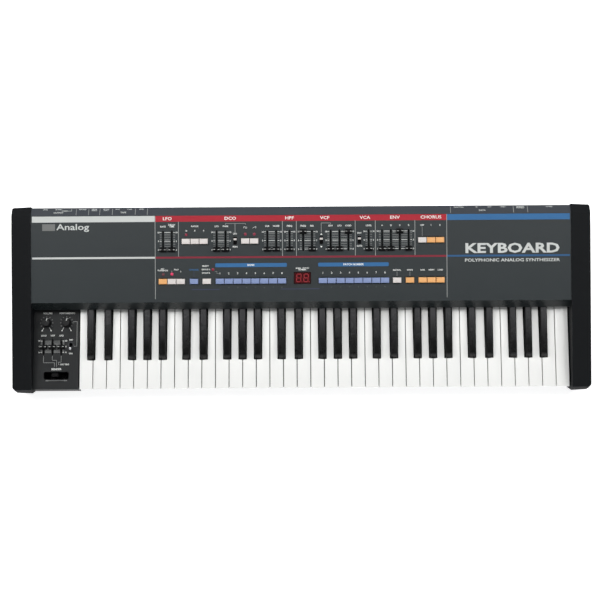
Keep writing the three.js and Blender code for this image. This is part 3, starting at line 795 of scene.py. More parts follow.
BUTTON_COLOURS = {
    "dco_buttons": "WWWWW",
    "chorus_buttons": "WOO",
    "assign_buttons": "OWWBW",
    "bank_buttons": "BBBBBBBB",
    "patch_buttons": "BBBBBBBB",
    "memory_buttons": "WOOOO",
}
PAD_BAR = (-4.2, -2.9)
BUTTON_SLOTS = {
    "dco_buttons": "white_button",
    "chorus_buttons": "orange_button",
    "assign_buttons": "white_button",
    "bank_buttons": "blue_button",
    "patch_buttons": "blue_button",
    "memory_buttons": "orange_button",
}


def pads_of(node):
    """(x range, y range, top) of each pad of a button group, in the panel frame."""
    back = PANEL.inverted()
    points = [(back @ vertex.co) / MM for vertex in NODES[node].data.vertices]
    top = max(point.z for point in points)
    pad = [point for point in points if top - point.z < 0.05]
    sides = sorted({round(point.x, 2) for point in pad})
    low, high = min(point.y for point in pad), max(point.y for point in pad)
    return [((sides[i], sides[i + 1]), (low, high), top) for i in range(0, len(sides), 2)]


def pad_shape(x, y, top):
    """A push button with rounded edges and a shallow dish in its top."""
    shape = block_shape(x, y, (-3.0, top))
    lid = max(shape.faces, key=lambda face: face.calc_center_median().z)
    rim = lid.edges[:]
    upright = [edge for edge in shape.edges if abs(edge.verts[0].co.z - edge.verts[1].co.z) > 1]
    bevel_edges(shape, rim + upright, 0.6, 3)
    lid = max(shape.faces, key=lambda face: face.calc_center_median().z + face.calc_area())
    bmesh.ops.inset_region(shape, faces=[lid], thickness=0.9)
    bmesh.ops.inset_region(shape, faces=[lid], thickness=1.6)
    for vert in lid.verts:
        vert.co.z -= 0.28
    return shape


def make_buttons(node):
    """The pads of a button group in their colours, on the bar or the blocks that carry them."""
    order = {"W": 0, "O": 1, "B": 2}
    piece = Piece(node + "_pads", node, BUTTON_SLOTS[node], "white_button", "orange_button",
                  "lilac_button", "deep", place=PANEL)
    pads = pads_of(node)
    for colour, (x, y, top) in zip(BUTTON_COLOURS[node], pads):
        piece.add(pad_shape(x, y, top), order[colour])
    low, high = box_in(node, PANEL)
    row = (pads[0][0][0], pads[-1][0][1])
    front, rear = pads[0][1]
    in_one_row = high.x - low.x < row[1] - row[0] + 4 and rear - front > high.y - low.y - 4
    for x in [row] if in_one_row else [x for x, _, _ in pads]:
        piece.block(x, (front + 3, rear - 3), PAD_BAR, material=3)
    piece.make(replaces=[node], sharp=40)


def make_mode_switch(node):
    """The white knob of a small slide switch, and the black body round it."""
    low, high = box_in(node, PANEL)
    x, y, _ = (low + high) / 2
    piece = Piece(node + "_knob", node, "white_button", "white_button", "deep", place=PANEL)
    piece.block((x - 2.6, x + 2.6), (y - 1.6, y + 1.6), (-2.5, high.z), 0.45, steps=3)
    for step in (-0.7, 0, 0.7):
        piece.block((x - 2.0, x + 2.0), (y + step - 0.12, y + step + 0.12),
                    (high.z - 0.05, high.z + 0.1))
    piece.block((x - 1.2, x + 1.2), (y - 1.2, y + 1.2), (low.z, -2.4), material=1)
    piece.make(replaces=[node])
    body = Piece(node + "_bezel", "case", "cap_plastic", "deep", place=PANEL)
    half_width, half_length, centre = 3.15, 6.85, y - 2.4
    outer = rounded_rectangle((x - half_width, x + half_width),
                              (centre - half_length, centre + half_length), 2.2, 4)
    inner = rounded_rectangle((x - half_width + 0.6, x + half_width - 0.6),
                              (centre - half_length + 0.6, centre + half_length - 0.6), 1.9, 4)
    body.add(ring_shape(outer, inner, -4.6, 0.35))
    body.plate(outer, -5.2, -4.5)
    body.make(soften=0.1)


# ---------------------------------------------------------------- display and lamps

SEGMENTS = (
    ((0, 1), "across"), ((0, 0), "across"), ((0, -1), "across"),
    ((-1, 0.5), "up"), ((1, 0.5), "up"), ((-1, -0.5), "up"), ((1, -0.5), "up"),
)


DIGIT_CENTRES = (-6.2, 6.2)
DIGIT_SIZE = (3.6, 6.6)
DIGIT_LEAN = 0.5
SEGMENT_WIDTH = 1.15
SEGMENT_SHARE = 0.92
DOT_RADIUS = 0.6


def segment_outline(length, width):
    """One bar of a numeral, with pointed ends, along X."""
    point = width / 2
    return [(-length + point, -point), (length - point, -point), (length, 0),
            (length - point, point), (-length + point, point), (-length, 0)]


def make_display():
    """Two numerals with all their bars and dots, and the frame round the window."""
    low, high = box_in("display_window", PANEL)
    x, y, _ = (low + high) / 2
    digits = Piece("display_digits", "case", "lamp_red", "digit", place=PANEL)
    width, height = DIGIT_SIZE
    bottom, top = high.z - 0.03, high.z + 0.03
    dot = [(0, bottom), (DOT_RADIUS, bottom), (DOT_RADIUS, top), (0, top)]
    for offset in DIGIT_CENTRES:
        for (u, v), direction in SEGMENTS:
            place = Matrix.Translation((x + offset + u * width + v * DIGIT_LEAN, y + v * height, 0))
            length = width if direction == "across" else height / 2
            if direction == "up":
                place = place @ Matrix.Rotation(math.pi / 2, 4, "Z")
            digits.plate(segment_outline(length * SEGMENT_SHARE, SEGMENT_WIDTH), bottom, top,
                         place=place)
        digits.lathe(dot, (x + offset + width + 1.6, y - height, 0), 12)
    digits.make()
    frame_piece = Piece("display_surround", "case", "cap_plastic", "deep", place=PANEL)
    outer = rounded_rectangle((low.x - 0.2, high.x + 0.2), (low.y - 0.2, high.y + 0.2), 0.8)
    inner = rounded_rectangle((low.x + 0.9, high.x - 0.9), (low.y + 0.9, high.y - 0.9), 0.5)
    frame_piece.add(ring_shape(outer, inner, -0.5, high.z + 0.12))
    frame_piece.make(soften=0.08)


LAMP_RADIUS = 2.6
LAMPS = ((-196.7, 115.5, "lamp"), (-95.3, 115.9, "lamp"), (-79.9, 115.9, "lamp"),
         (-236.3, 47.6, "lamp_dim"), (-221.5, 48.2, "lamp_lit"), (-151.1, 55.6, "lamp"))


def make_lamps():
    """The domed lamps, lit or not."""
    finishes = ("lamp", "lamp_lit", "lamp_dim")
    piece = Piece("panel_lamps", "case", "lamp_red", *finishes, place=PANEL)
    dome = [(0, 1.5)] + [(LAMP_RADIUS * math.sin(a), 0.3 + 1.2 * math.cos(a))
                         for a in (math.pi / 10 * i for i in range(1, 6))]
    for x, y, finish in LAMPS:
        piece.lathe(dome + [(LAMP_RADIUS, -0.9), (0, -0.9)], (x, y, 0), 24,
                    finishes.index(finish))
    piece.make()


# ---------------------------------------------------------------- knobs, toggle and bender

KNOB_REST = math.radians(-20)
KNOB_FLUTES = 24


def knob_shape(radius, low, high):
    """A fluted knob with a domed skirt and a flat top, round the Z axis."""
    shape = bmesh.new()
    levels = [(radius, low), (radius, low + 2.0), (radius * 0.95, low + 2.6),
              (radius * 0.90, high - 0.8), (radius * 0.82, high)]
    sides = KNOB_FLUTES * 4
    rings = []
    for number, (size, z) in enumerate(levels):
        ring = []
        for i in range(sides):
            flute = 0.35 * (0.5 + 0.5 * math.cos(2 * math.pi * i / 4)) if number in (2, 3) else 0
            angle = 2 * math.pi * i / sides
            ring.append(shape.verts.new(((size - flute) * math.cos(angle),
                                         (size - flute) * math.sin(angle), z)))
        rings.append(ring)
    bridge(shape, rings)
    shape.faces.new(rings[0][::-1])
    lid = shape.faces.new(rings[-1])
    bmesh.ops.inset_region(shape, faces=[lid], thickness=0.7)
    for vert in lid.verts:
        vert.co.z -= 0.35
    return shape


def make_knob(node):
    """The knob with its printed pointer, and the shaft under it."""
    low, high = box_in(node, BENDER_TOP)
    x, y, _ = (low + high) / 2
    radius = (high.x - low.x) / 2
    piece = Piece(node + "_top", node, "cap_plastic", "cap", "white_ink", "screw",
                  place=BENDER_TOP)
    here = Matrix.Translation((x, y, 0)) @ Matrix.Rotation(KNOB_REST, 4, "Z")
    piece.add(knob_shape(radius, 0.8, high.z), 0, here)
    piece.block((-0.6, 0.6), (radius * 0.34, radius * 0.90), (high.z - 0.5, high.z + 0.02),
                0.05, material=1, place=here)
    piece.block((-0.45, 0.45), (radius * 0.80, radius + 0.03), (1.0, 3.1), material=1, place=here)
    piece.lathe([(0, low.z), (2.9, low.z), (2.9, 1.2), (0, 1.2)], (x, y, 0), 24, 2)
    piece.make(replaces=[node], sharp=30)


NUT_BORE = 4.0
NUT_REACH = 5.3
WASHER_RADIUS = 5.8


def joint_of(node):
    return next(joint for joint in frame["joints"] if joint["child"] == node)


def make_toggle():
    """The bat of the portamento switch, leaning to the front, and its nut on the panel."""
    node = "portamento_switch"
    joint = joint_of(node)
    pivot = Vector(joint["pos_m"]) / MM
    tilt = Matrix.Rotation(math.radians(-joint["range_deg"][0] / 2), 4, "X")
    length = box_in(node, Matrix.Translation(pivot * MM) @ tilt)[1].z
    piece = Piece(node + "_bat", node, "switch_chrome", "chrome")
    outline = [(0, -4.6), (1.3, -4.4), (1.3, 0), (1.5, 2), (1.15, 4.2), (1.9, length - 4.5),
               (2.5, length - 1.6), (2.3, length - 0.6), (1.4, length - 0.1), (0, length)]
    piece.lathe(outline, sides=28, place=Matrix.Translation(pivot) @ tilt)
    piece.make(replaces=[node], sharp=50)
    nut = Piece("toggle_nut", "case", "switch_chrome", "screw")
    top = box_in("bender_panel", ROW)[1].z
    hole = ring_of(pivot, NUT_BORE)
    nut.add(ring_shape(ring_of(pivot, WASHER_RADIUS), hole, top + 0.02, top + 0.4))
    nut.add(ring_shape(smooth_hexagon(pivot, NUT_REACH), hole, top + 0.4, top + 1.2))
    nut.make()


PADDLE_HALF = (6.0, 2.8)
SURROUND_HALF = (21.6, 6.6)
SURROUND_WIDTH = (0.7, 0.65)
SURROUND_RISE = 0.55
ON_EDGE = Matrix(((0, 0, 1, 0), (1, 0, 0, 0), (0, 1, 0, 0), (0, 0, 0, 1)))


def make_bender():
    """The bender lever's paddle with its grips and pointer, and the raised rim of its slot."""
    low, high = box_in("bender_lever", ROW)
    x, y, _ = (low + high) / 2
    top = box_in("bender_panel", ROW)[1].z
    lever = Piece("bender_lever_paddle", "bender_lever", "cap_plastic", "deep", "white_ink")
    half_width, half_thick = PADDLE_HALF
    outline = [(-half_thick, low.z), (half_thick, low.z), (half_thick, high.z - 4)]
    outline += [(half_thick * math.cos(a), high.z - half_thick - 1 + (half_thick + 1) * math.sin(a))
                for a in (math.pi / 12 * i for i in range(1, 12))]
    outline += [(-half_thick, high.z - 4)]
    lever.plate(outline, -half_width, half_width, place=Matrix.Translation((x, y, 0)) @ ON_EDGE)
    for side in (-1, 1):
        lever.block((x + side * 3.2 - 0.4, x + side * 3.2 + 0.4), (y - 3.0, y + 3.0),
                    (high.z - 9, high.z - 3))
    pointer = [(x - 1.1, y + 1.0), (x + 1.1, y + 1.0), (x, y + 2.5)]
    lever.plate(pointer, high.z - 1.2, high.z - 0.05, material=1)
    lever.make(sharp=40, soften=0.3)
    shroud = Piece("bender_surround", "case", "bender_plastic", "deep")
    wide, deep = SURROUND_HALF
    outer = rounded_rectangle((x - wide, x + wide), (y - deep, y + deep), 3.0, 4)
    wide -= SURROUND_WIDTH[0]
    deep -= SURROUND_WIDTH[1]
    inner = rounded_rectangle((x - wide, x + wide), (y - deep, y + deep), 2.4, 4)
    shroud.add(ring_shape(outer, inner, top - 0.1, top + SURROUND_RISE))
    shroud.make(soften=0.15)


# ---------------------------------------------------------------- legends of the main panel

BAND = (137.9, 148.1)
THIN_LINE = (74.9, 78.1)
ENDS = 461.0
INNER_END = 250.0
DIVIDER_FOOT = 5.5
SECTION_LINES = (-209.9, -31.7, -7.8, 93.1, 127.6, 195.4)
SECTION_TITLES = (("LFO", -229), ("DCO", -121), ("HPF", -19.5), ("VCF", 41), ("VCA", 110),
                  ("ENV", 161), ("CHORUS", 223))
BLUE_BARS = ((-147.2, -24.6), (29.3, 150.1))
BLUE_BAR_MIDDLE = 62.8
BLUE_BAR_HALF = 3.3
SCALE_STEPS = 10
PANEL_SCALE = dict(top=119.7, travel=30.0, clear=2.5, reach=5.6, halves=(0.26, 0.36), inks=(0, 1))
BENDER_SCALE = dict(top=90.4 - HALF_DEPTH, travel=20.0, clear=2.2, reach=5.2,
                    halves=(0.28, 0.38), inks=(1, 0), outer_only=True)
BRACKET_TOP = 134.2
SLIDER_GROUPS = (
    (("lfo_rate", "RATE"), ("lfo_delay", "DELAY\nTIME")),
    (("dco_lfo", "LFO"), ("dco_pwm", "PWM")),
    (("dco_sub", "SUB"), ("dco_noise", "NOISE")),
    (("hpf_freq", "FREQ"),),
    (("vcf_freq", "FREQ"), ("vcf_res", "RES")),
    (("vcf_env", "ENV"), ("vcf_lfo", "LFO"), ("vcf_kybd", "KYBD")),
    (("vca_level", "LEVEL"),),
    (("env_attack", "A"), ("env_decay", "D"), ("env_sustain", "S"), ("env_release", "R")),
)
LABEL_ROW = 129.4
LABEL_HEIGHT = 2.7
LABELS = (
    ("RANGE", -182.0, 129.8), ("16", -196.7, 122.2), ("8", -182.0, 122.2),
    ("4", -166.8, 122.2), ("LFO", -112.9, 116.6), ("MAN", -112.9, 94.4),
    ("ENV", 100.2, 116.6), ("GATE", 100.2, 94.4),
    ("OFF", 207.9, 129.4), ("I", 223.1, 129.4), ("II", 238.3, 129.4),
)
SMALL_LABELS = (
    ("KEY\nTRANSPOSE", -237.5, 55.6), ("POLY", -214.0, 55.6), ("1", -221.7, 52.4),
    ("2", -206.5, 52.4),
    ("BANK   PATCH\nNUMBER", 2.1, 55.6), ("SELECT", -164.0, 61.6), ("GROUP A", -163.4, 55.6),
    ("GROUP B", -163.4, 49.6),
    ("MANUAL", 164.3, 52.6), ("WRITE", 186.4, 52.6), ("SAVE", 208.1, 52.6),
    ("VERIFY", 223.3, 52.6), ("LOAD", 238.5, 52.6),
)
SCALE_NUMBERS = ("10", "5", "0")
INK = (-0.02, 0.05)


def stripe(piece, x, y, material=0):
    piece.block(x, y, INK, material=material)


def ink_lines(piece, points, width, material=0):
    """A printed line of straight runs, each along X or Y."""
    half = width / 2
    for (x0, y0), (x1, y1) in zip(points, points[1:]):
        stripe(piece, (min(x0, x1) - half, max(x0, x1) + half),
               (min(y0, y1) - half, max(y0, y1) + half), material)


def make_bands():
    """The wide and the narrow coloured band, and the bars over the two rows of eight buttons."""
    piece = Piece("panel_bands", "case", "white_ink", "white_ink", "red_ink", "blue_ink",
                  "wine_ink", "sea_ink", place=PANEL)
    for band, red, blue in ((BAND, 1, 2), (THIN_LINE, 3, 4)):
        stripe(piece, (-ENDS, -INNER_END - 0.6), band, 0)
        stripe(piece, (-INNER_END + 0.6, INNER_END - 0.6), band, red)
        stripe(piece, (INNER_END + 0.6, ENDS), band, blue)
    for x in BLUE_BARS:
        y = (BLUE_BAR_MIDDLE - BLUE_BAR_HALF, BLUE_BAR_MIDDLE + BLUE_BAR_HALF)
        piece.plate(rounded_rectangle(x, y, 1.6, 4), *INK, material=2)
    piece.make()


def make_panel_lines():
    """The lines between the sections, the scales, and the lines that lead to switches and lamps."""
    piece = Piece("panel_lines", "case", "white_ink", "grey_ink", "small_ink", "navy_ink",
                  place=PANEL)
    for x in (-INNER_END, INNER_END):
        stripe(piece, (x - 0.5, x + 0.5), (DIVIDER_FOOT, BAND[1]))
    for x in SECTION_LINES:
        stripe(piece, (x - 0.5, x + 0.5), (THIN_LINE[1], BAND[0]))
    for group in SLIDER_GROUPS:
        make_scale(piece, [middle(name + "_slider", PANEL).x for name, _ in group],
                   **PANEL_SCALE)
    pulse = middle("pulse_width_switch", PANEL).x
    polarity = middle("filter_polarity_switch", PANEL).x
    top = BRACKET_TOP
    ink_lines(piece, [(-129.3, 131.8), (-129.3, top), (-95.0, top), (-95.0, 132.5)], 0.6)
    ink_lines(piece, [(pulse, top), (pulse, 118.5)], 0.8)
    ink_lines(piece, [(polarity, 118.5), (polarity, top), (51.0, top), (51.0, 132)], 0.7)
    ink_lines(piece, [(207.9, 126.4), (207.9, 110.6)], 0.5)
    for x in ((-187.6, -139.9), (-35.0, 31.5)):
        stripe(piece, x, (21.0, 22.0), 2)
    for x in (164.3, 186.4):
        stripe(piece, (x - 0.3, x + 0.3), (42.4, 49.8))
    stripe(piece, (-184.0, -183.4), (42.4, 52.6), 2)
    ink_lines(piece, [(-147.6, 52.4), (-144.4, 52.4), (-144.4, 48.6), (-141.6, 48.6)], 0.4)
    piece.make()


def make_scale(piece, xs, top, travel, clear, reach, halves, inks, outer_only=False):
    """The ruled lines beside a group of slots, with the ends and the middle bright. halves and
    inks are those of a dim and of a bright line."""
    edges = [xs[0] - reach]
    for x in xs:
        edges += [x - clear, x + clear]
    edges.append(xs[-1] + reach)
    runs = list(zip(edges[::2], edges[1::2]))
    for step in range(SCALE_STEPS + 1):
        y = top - travel * step / SCALE_STEPS
        for run in runs:
            bright = step % 5 == 0 and (run in (runs[0], runs[-1]) or not outer_only)
            half = halves[bright]
            stripe(piece, run, (y - half, y + half), inks[bright])


def number_scale(piece, xs, out, top, apart):
    """The numbers at both sides of a group of slots."""
    for x in (xs[0] - out, xs[-1] + out):
        for row, number in enumerate(SCALE_NUMBERS):
            piece.text(number, x, top - apart * row, 2.5, weight=0.03)


def make_panel_text():
    """The titles, labels and numbers of the control face."""
    piece = Piece("panel_lettering", "case", "white_ink", "small_ink", "blue_ink", "dim_ink",
                  "white_ink", place=PANEL)
    for words, x in SECTION_TITLES:
        piece.text(words, x, (BAND[0] + BAND[1]) / 2, 5.0, weight=0.02, stretch=1.22,
                   low=0.03, high=0.09)
    for group in SLIDER_GROUPS:
        xs = [middle(name + "_slider", PANEL).x for name, _ in group]
        for x, (_, words) in zip(xs, group):
            lift = 1.6 if "\n" in words else 0
            piece.text(words, x, LABEL_ROW + lift, LABEL_HEIGHT, weight=0.025)
        number_scale(piece, xs, 7.9, 119.4, 15.0)
    for words, x, y in LABELS:
        piece.text(words, x, y, 2.6, weight=0.025)
    for row in ("bank_buttons", "patch_buttons"):
        for number, x in enumerate(pad_centres(row), 1):
            piece.text(str(number), x, 48.6, 3.0, weight=0.025)
            piece.text(str(number), x, 24.4, 1.8, material=2, weight=0.0)
    for words, x, y in SMALL_LABELS:
        piece.text(words, x, y, 2.3, weight=0.025)
    piece.text("CHANNEL", -183.7, 55.2, 2.5, material=1, weight=0.025)
    for words, bar in zip(("BANK", "PATCH NUMBER"), BLUE_BARS):
        piece.text(words, sum(bar) / 2, BLUE_BAR_MIDDLE, 3.2, weight=0.03, low=0.03, high=0.09)
    piece.text("Analog", -391.0, 129.4, 10.0, material=3, weight=0.02, stretch=1.36)
    piece.text("KEYBOARD", 362.0, 88.6, 15.6, material=3, weight=0.045, stretch=1.38)
    piece.text("POLYPHONIC ANALOG SYNTHESIZER", 362.0, 68.6, 5.0, material=3, weight=0.025,
               stretch=1.30)
    stripe(piece, (-443.4, -421.4), (123.6, 135.0), 2)
    piece.make()


def pad_centres(node):
    return [(x[0] + x[1]) / 2 for x, _, _ in pads_of(node)]


def make_icons():
    """Wave shapes and arrows beside the switches and the wave buttons."""
    piece = Piece("panel_icons", "case", "white_ink", "small_ink", place=PANEL)
    line = 0.5
    x, y = -95.3, 127.4
    ink_lines(piece, [(x - 2.6, y - 1.3), (x - 2.6, y + 1.3), (x, y + 1.3), (x, y - 1.3),
                      (x + 2.6, y - 1.3), (x + 2.6, y + 1.3)], line)
    saw = [(-2.6, -1.4), (2.4, 1.4), (2.4, -1.4), (2.9, -1.4), (2.9, 1.9), (2.4, 1.9),
           (-2.6, -0.9)]
    piece.plate(saw, *INK, place=Matrix.Translation((-79.9, 127.4, 0)))
    for y, way in ((115.4, 1), (93.4, -1)):
        arrow = [(-1.9, -way * 1.2), (1.9, -way * 1.2), (0, way * 1.4)]
        if way < 0:
            arrow = arrow[::-1]
        piece.plate(arrow, *INK, place=Matrix.Translation((34.9, y, 0)))
    piece.make()


# ---------------------------------------------------------------- rear strip and bender legends

STRIP_DIVIDERS = (-385.5, -364.2, -345.0, -323.4, -284.0, -263.4, 257.0, 365.1, 389.5)
STRIP_ROWS = {"rear": (-3.4, 2.2), "between": (-6.6, 2.2), "group": (-10.4, 2.9)}
STRIP_LABELS = (
    ("LEVEL", -438.8, "rear"), ("MONO", -416.4, "rear"), ("STEREO", -405.0, "between"),
    ("OUTPUT", -416.0, "group"), ("PHONES", -374.9, "rear"), ("PEDAL\nHOLD", -354.6, "rear"),
    ("PATCH\nSHIFT", -334.4, "rear"), ("SAVE", -315.0, "rear"), ("LOAD", -294.2, "rear"),
    ("TAPE", -304.6, "group"), ("LEVEL", -273.7, "rear"), ("FUNCTION", 271.6, "rear"),
    ("IN", 302.4, "rear"), ("OUT", 324.4, "rear"), ("THRU", 347.6, "rear"),
    ("DATA", 311.4, "group"), ("MEMORY\nPROTECT", 377.4, "rear"), ("POWER", 427.0, "rear"),
)
OUTPUT_BRACKET = ((-398.6, -6.6), (-393.8, -6.6), (-393.8, -3.0))


def make_strip():
    """The labels of the rear sockets, on the rear strip."""
    piece = Piece("rear_strip_legends", "case", "white_ink", "white_ink", "grey_ink", place=STRIP)
    for x in STRIP_DIVIDERS:
        stripe(piece, (x - 0.4, x + 0.4), (-15.4, -2.0), 1)
    for words, x, row in STRIP_LABELS:
        y, height = STRIP_ROWS[row]
        piece.text(words, x, y - 1.0 * words.count("\n"), height, weight=0.035)
    ink_lines(piece, OUTPUT_BRACKET, 0.5)
    piece.make()


def make_bender_legends():
    """Labels, scales, dials and routing lines of the left-hand control panel."""
    piece = Piece("bender_panel_legends", "case", "white_ink", "small_ink", "grey_ink",
                  place=BENDER_TOP)
    sliders = [middle(slider, BENDER_TOP).x for slider in BENDER_SLIDERS]
    shift = HALF_DEPTH
    for words, x, y, height in (
        ("VOLUME", middle("volume_knob", BENDER_TOP).x + 1.7, 138.6, 2.6),
        ("PORTAMENTO", middle("portamento_knob", BENDER_TOP).x + 1.0, 138.6, 2.6),
        ("OFF", -399.0, 92.2, 2.4), ("ON", -399.0, 68.4, 2.4),
        ("LFO TRIG", -409.4, 49.6, 2.3), ("BENDER", -423.5, 41.4, 3.0),
    ):
        piece.text(words, x, y - shift, height * 1.06, weight=0.025)
    for words, x in zip(("DCO", "VCF", "LFO"), sliders):
        piece.text(words, x, 99.6 - shift, 2.7, weight=0.025)
    number_scale(piece, sliders, 8.0, 90.6 - shift, 10.0)
    make_scale(piece, sliders, **BENDER_SCALE)
    for node in ("volume_knob", "portamento_knob"):
        make_dial(piece, middle(node, BENDER_TOP))
    first, second, third = sliders
    for points in (
        [(first, 64.5), (first, 52.8), (-426.9, 52.8), (-426.9, 46.0)],
        [(second, 64.5), (second, 57.0), (-423.3, 57.0), (-423.3, 46.0)],
        [(third, 64.5), (third, 53.6), (-420.0, 53.6), (-420.0, 49.4), (-418.4, 49.4)],
        [(-395.6, 124.0), (-388.8, 124.0), (-388.8, 81.2), (-394.2, 81.2)],
        [(-441.5, 21.8), (-405.5, 21.8)],
    ):
        ink_lines(piece, [(x, y - shift) for x, y in points], 0.55, 1)
    for x in (-439.5, -407.5):
        stripe(piece, (x - 2.4, x + 2.4), (21.0 - shift, 22.6 - shift), 1)
    piece.make()


TICK_START = 9.6
TICK_END = 11.6
END_TICK_END = 14.6
DIAL_DOT = 1.0


def make_dial(piece, centre):
    """Eleven ticks over 300 degrees, with a dot at each end."""
    dot = [(0, INK[0]), (DIAL_DOT, INK[0]), (DIAL_DOT, INK[1]), (0, INK[1])]
    for step in range(11):
        angle = math.radians(-150 + 30 * step)
        here = Matrix.Translation((centre.x, centre.y, 0)) @ Matrix.Rotation(-angle, 4, "Z")
        if step in (0, 10):
            piece.block((-0.32, 0.32), (TICK_START, END_TICK_END), INK, place=here)
            piece.lathe(dot, (0, END_TICK_END + DIAL_DOT, 0), 16, place=here)
        else:
            piece.block((-0.32, 0.32), (TICK_START, TICK_END), INK, material=1, place=here)


# ---------------------------------------------------------------- rear panel


REAR_WALL = box_in("bottom_case", ROW)[1].y
FACING_REAR = Matrix(((-1, 0, 0, 0), (0, 0, 1, 0), (0, 1, 0, 0), (0, 0, 0, 1)))
REAR = Matrix.Translation((0, REAR_WALL * MM, 0)) @ FACING_REAR
UNDERSIDE = Matrix.Rotation(math.pi, 4, "X")
ORIGIN = Vector((0, 0, 0))
JACK_BORE = 4.75
SOCKET_RADIUS = 6.55
PIN_RING = 3.75
REAR_TEXT = 2.3
REAR_LABEL_ROW = 83.0
REAR_GROUP_ROW = 89.6
REAR_GROUP_LINE = (86.8, 87.2)
REAR_MARK_ROW = 61.4
REAR_MARKS = ((-442.4, "LMH"), (-273.0, "LMH"), (273.0, "123"))
ROCKER_TILT = math.radians(7)
ROCKER_FACE = (7.5, 5.0)
ROCKER_LEAN = math.atan2(2.0, 10.0)
REAR_LABELS = (
    ("LEVEL", -442.4), ("MONO", -420.0), ("STEREO", -399.2), ("PHONES", -378.4),
    ("HOLD", -357.6), ("SHIFT", -336.8), ("SAVE", -316.0), ("LOAD", -295.2), ("LEVEL", -273.0),
    ("FUNCTION", 273.0), ("IN", 305.0), ("OUT", 327.5), ("THRU", 350.0), ("PROTECT", 378.0),
    ("MAINS", 402.5), ("POWER", 429.0),
)
REAR_GROUPS = (("OUTPUT", -409.6, 24.0), ("PEDAL", -347.2, 24.0), ("TAPE", -305.6, 24.0),
               ("DATA", 327.5, 50.0))
FLANGE_SCREWS = (-455, -250, -88, 88, 250, 455)
FLANGE_SCREW_HEIGHT = 98.0
BASE_SCREWS = ((-445, -120), (-250, -140), (0, -140), (250, -140), (445, -120), (-445, 0),
               (445, 0), (-445, 100), (-250, 146), (0, 146), (250, 146), (445, 100))
FOOT_HEIGHT = 6.0
SCREW_HEAD = ((0, -0.3), (3.1, -0.3), (3.1, 0.5), (2.7, 1.1), (1.7, 1.5), (0, 1.6))


def turned_ring(outer, inner, low, high):
    """A plain ring round the Z axis."""
    return ring_shape(ring_of(ORIGIN, outer, 32), ring_of(ORIGIN, inner, 32), low, high)


def make_rear():
    """Nuts on the jacks, contacts in the round sockets and the mains inlet, marks on the power
    switch, and the lettering of the rear wall."""
    hardware = Piece("rear_hardware", "case", "plated_steel", "steel", "gold", "deep", place=REAR)
    for opening in frame["record"]["physics"]["openings"]:
        x, z, floor_y = centre_of(opening)
        here = Matrix.Translation((-x, z, 0))
        depth = floor_y - REAR_WALL
        if opening["name"].startswith("jack_"):
            hardware.add(turned_ring(7.0, JACK_BORE, 0.02, 0.5), 0, here)
            bore = ring_of(ORIGIN, JACK_BORE)
            hardware.add(ring_shape(smooth_hexagon(ORIGIN, 6.5), bore, 0.5, 2.3), 0, here)
        elif opening["name"].startswith("data_"):
            hardware.add(turned_ring(SOCKET_RADIUS, SOCKET_RADIUS - 0.3, depth, 1.7), 0, here)
            for step in range(5):
                angle = math.radians(180 + 45 * step)
                pin = here @ Matrix.Translation(
                    (PIN_RING * math.cos(angle), PIN_RING * math.sin(angle), 0))
                hardware.add(turned_ring(1.0, 0.6, depth - 0.36, depth), 1, pin)
        elif opening["name"] == "mains_inlet":
            for side, drop in ((-5.0, 0.0), (5.0, 0.0), (0.0, 2.6)):
                hardware.block((side - 1.0, side + 1.0), (drop - 2.0, drop + 2.0),
                               (depth - 0.3, depth + 9.0), 0.25, material=0, place=here)
    hardware.make()
    make_rear_lettering()
    make_rocker_marks()
    make_screws()


def make_rear_lettering():
    """The labels over the sockets and switches, and the marks under the slide switches."""
    words = Piece("rear_lettering", "case", "white_ink", "small_ink", place=REAR)
    for label, x in REAR_LABELS:
        words.text(label, -x, REAR_LABEL_ROW, REAR_TEXT)
    for label, x, width in REAR_GROUPS:
        words.text(label, -x, REAR_GROUP_ROW, REAR_TEXT)
        words.block((-x - width / 2, -x + width / 2), REAR_GROUP_LINE, INK)
    for x, marks in REAR_MARKS:
        for mark, offset in zip(marks, (-4.6, 0.0, 4.6)):
            words.text(mark, -x + offset, REAR_MARK_ROW, 2.0)
    words.text("OFF  ON", -378.0, REAR_MARK_ROW, 2.0)
    words.make()


def make_rocker_marks():
    """The bar and the ring on the two faces of the mains rocker."""
    node = "power_switch"
    pivot = Vector(joint_of(node)["pos_m"]) / MM
    marks = Piece(node + "_marks", node, "cap_plastic", "small_ink")
    rest = Matrix.Translation(pivot) @ Matrix.Rotation(-ROCKER_TILT, 4, "X")
    out, apart = ROCKER_FACE
    for side in (1, -1):
        face = rest @ Matrix.Translation((0, out, side * apart)) @ FACING_REAR
        face = face @ Matrix.Rotation(side * ROCKER_LEAN, 4, "X")
        if side > 0:
            marks.block((-0.35, 0.35), (-1.9, 1.9), INK, place=face)
        else:
            marks.add(turned_ring(1.9, 1.3, *INK), 0, face)
    marks.make()


def add_screw(piece, x, y, surface, turn):
    """A domed screw head with a cross, turned by an angle."""
    here = Matrix.Translation((x, y, surface)) @ Matrix.Rotation(turn, 4, "Z")
    piece.lathe(SCREW_HEAD, sides=24, place=here)
    for across in ((1.7, 0.32), (0.32, 1.7)):
        piece.block((-across[0], across[0]), (-across[1], across[1]), (1.2, 1.63), material=1,
                    place=here)


def make_screws():
    """The cross-head screws of the rear flange, the rear wall and the base."""
    flange = box_in("top_panel", ROW)[1].y - REAR_WALL
    rear = Piece("rear_screws", "case", "plated_steel", "screw", "deep", place=REAR)
    for number, x in enumerate(FLANGE_SCREWS):
        add_screw(rear, x, FLANGE_SCREW_HEIGHT, flange, 0.7 * number)
        add_screw(rear, x, 16.0, 0.0, 0.4 + 1.1 * number)
    rear.make(sharp=40)
    base = Piece("base_screws", "case", "plated_steel", "screw", "deep", place=UNDERSIDE)
    for number, (x, y) in enumerate(BASE_SCREWS):
        add_screw(base, x, -y, -FOOT_HEIGHT, 0.9 * number)
    base.make(sharp=40)


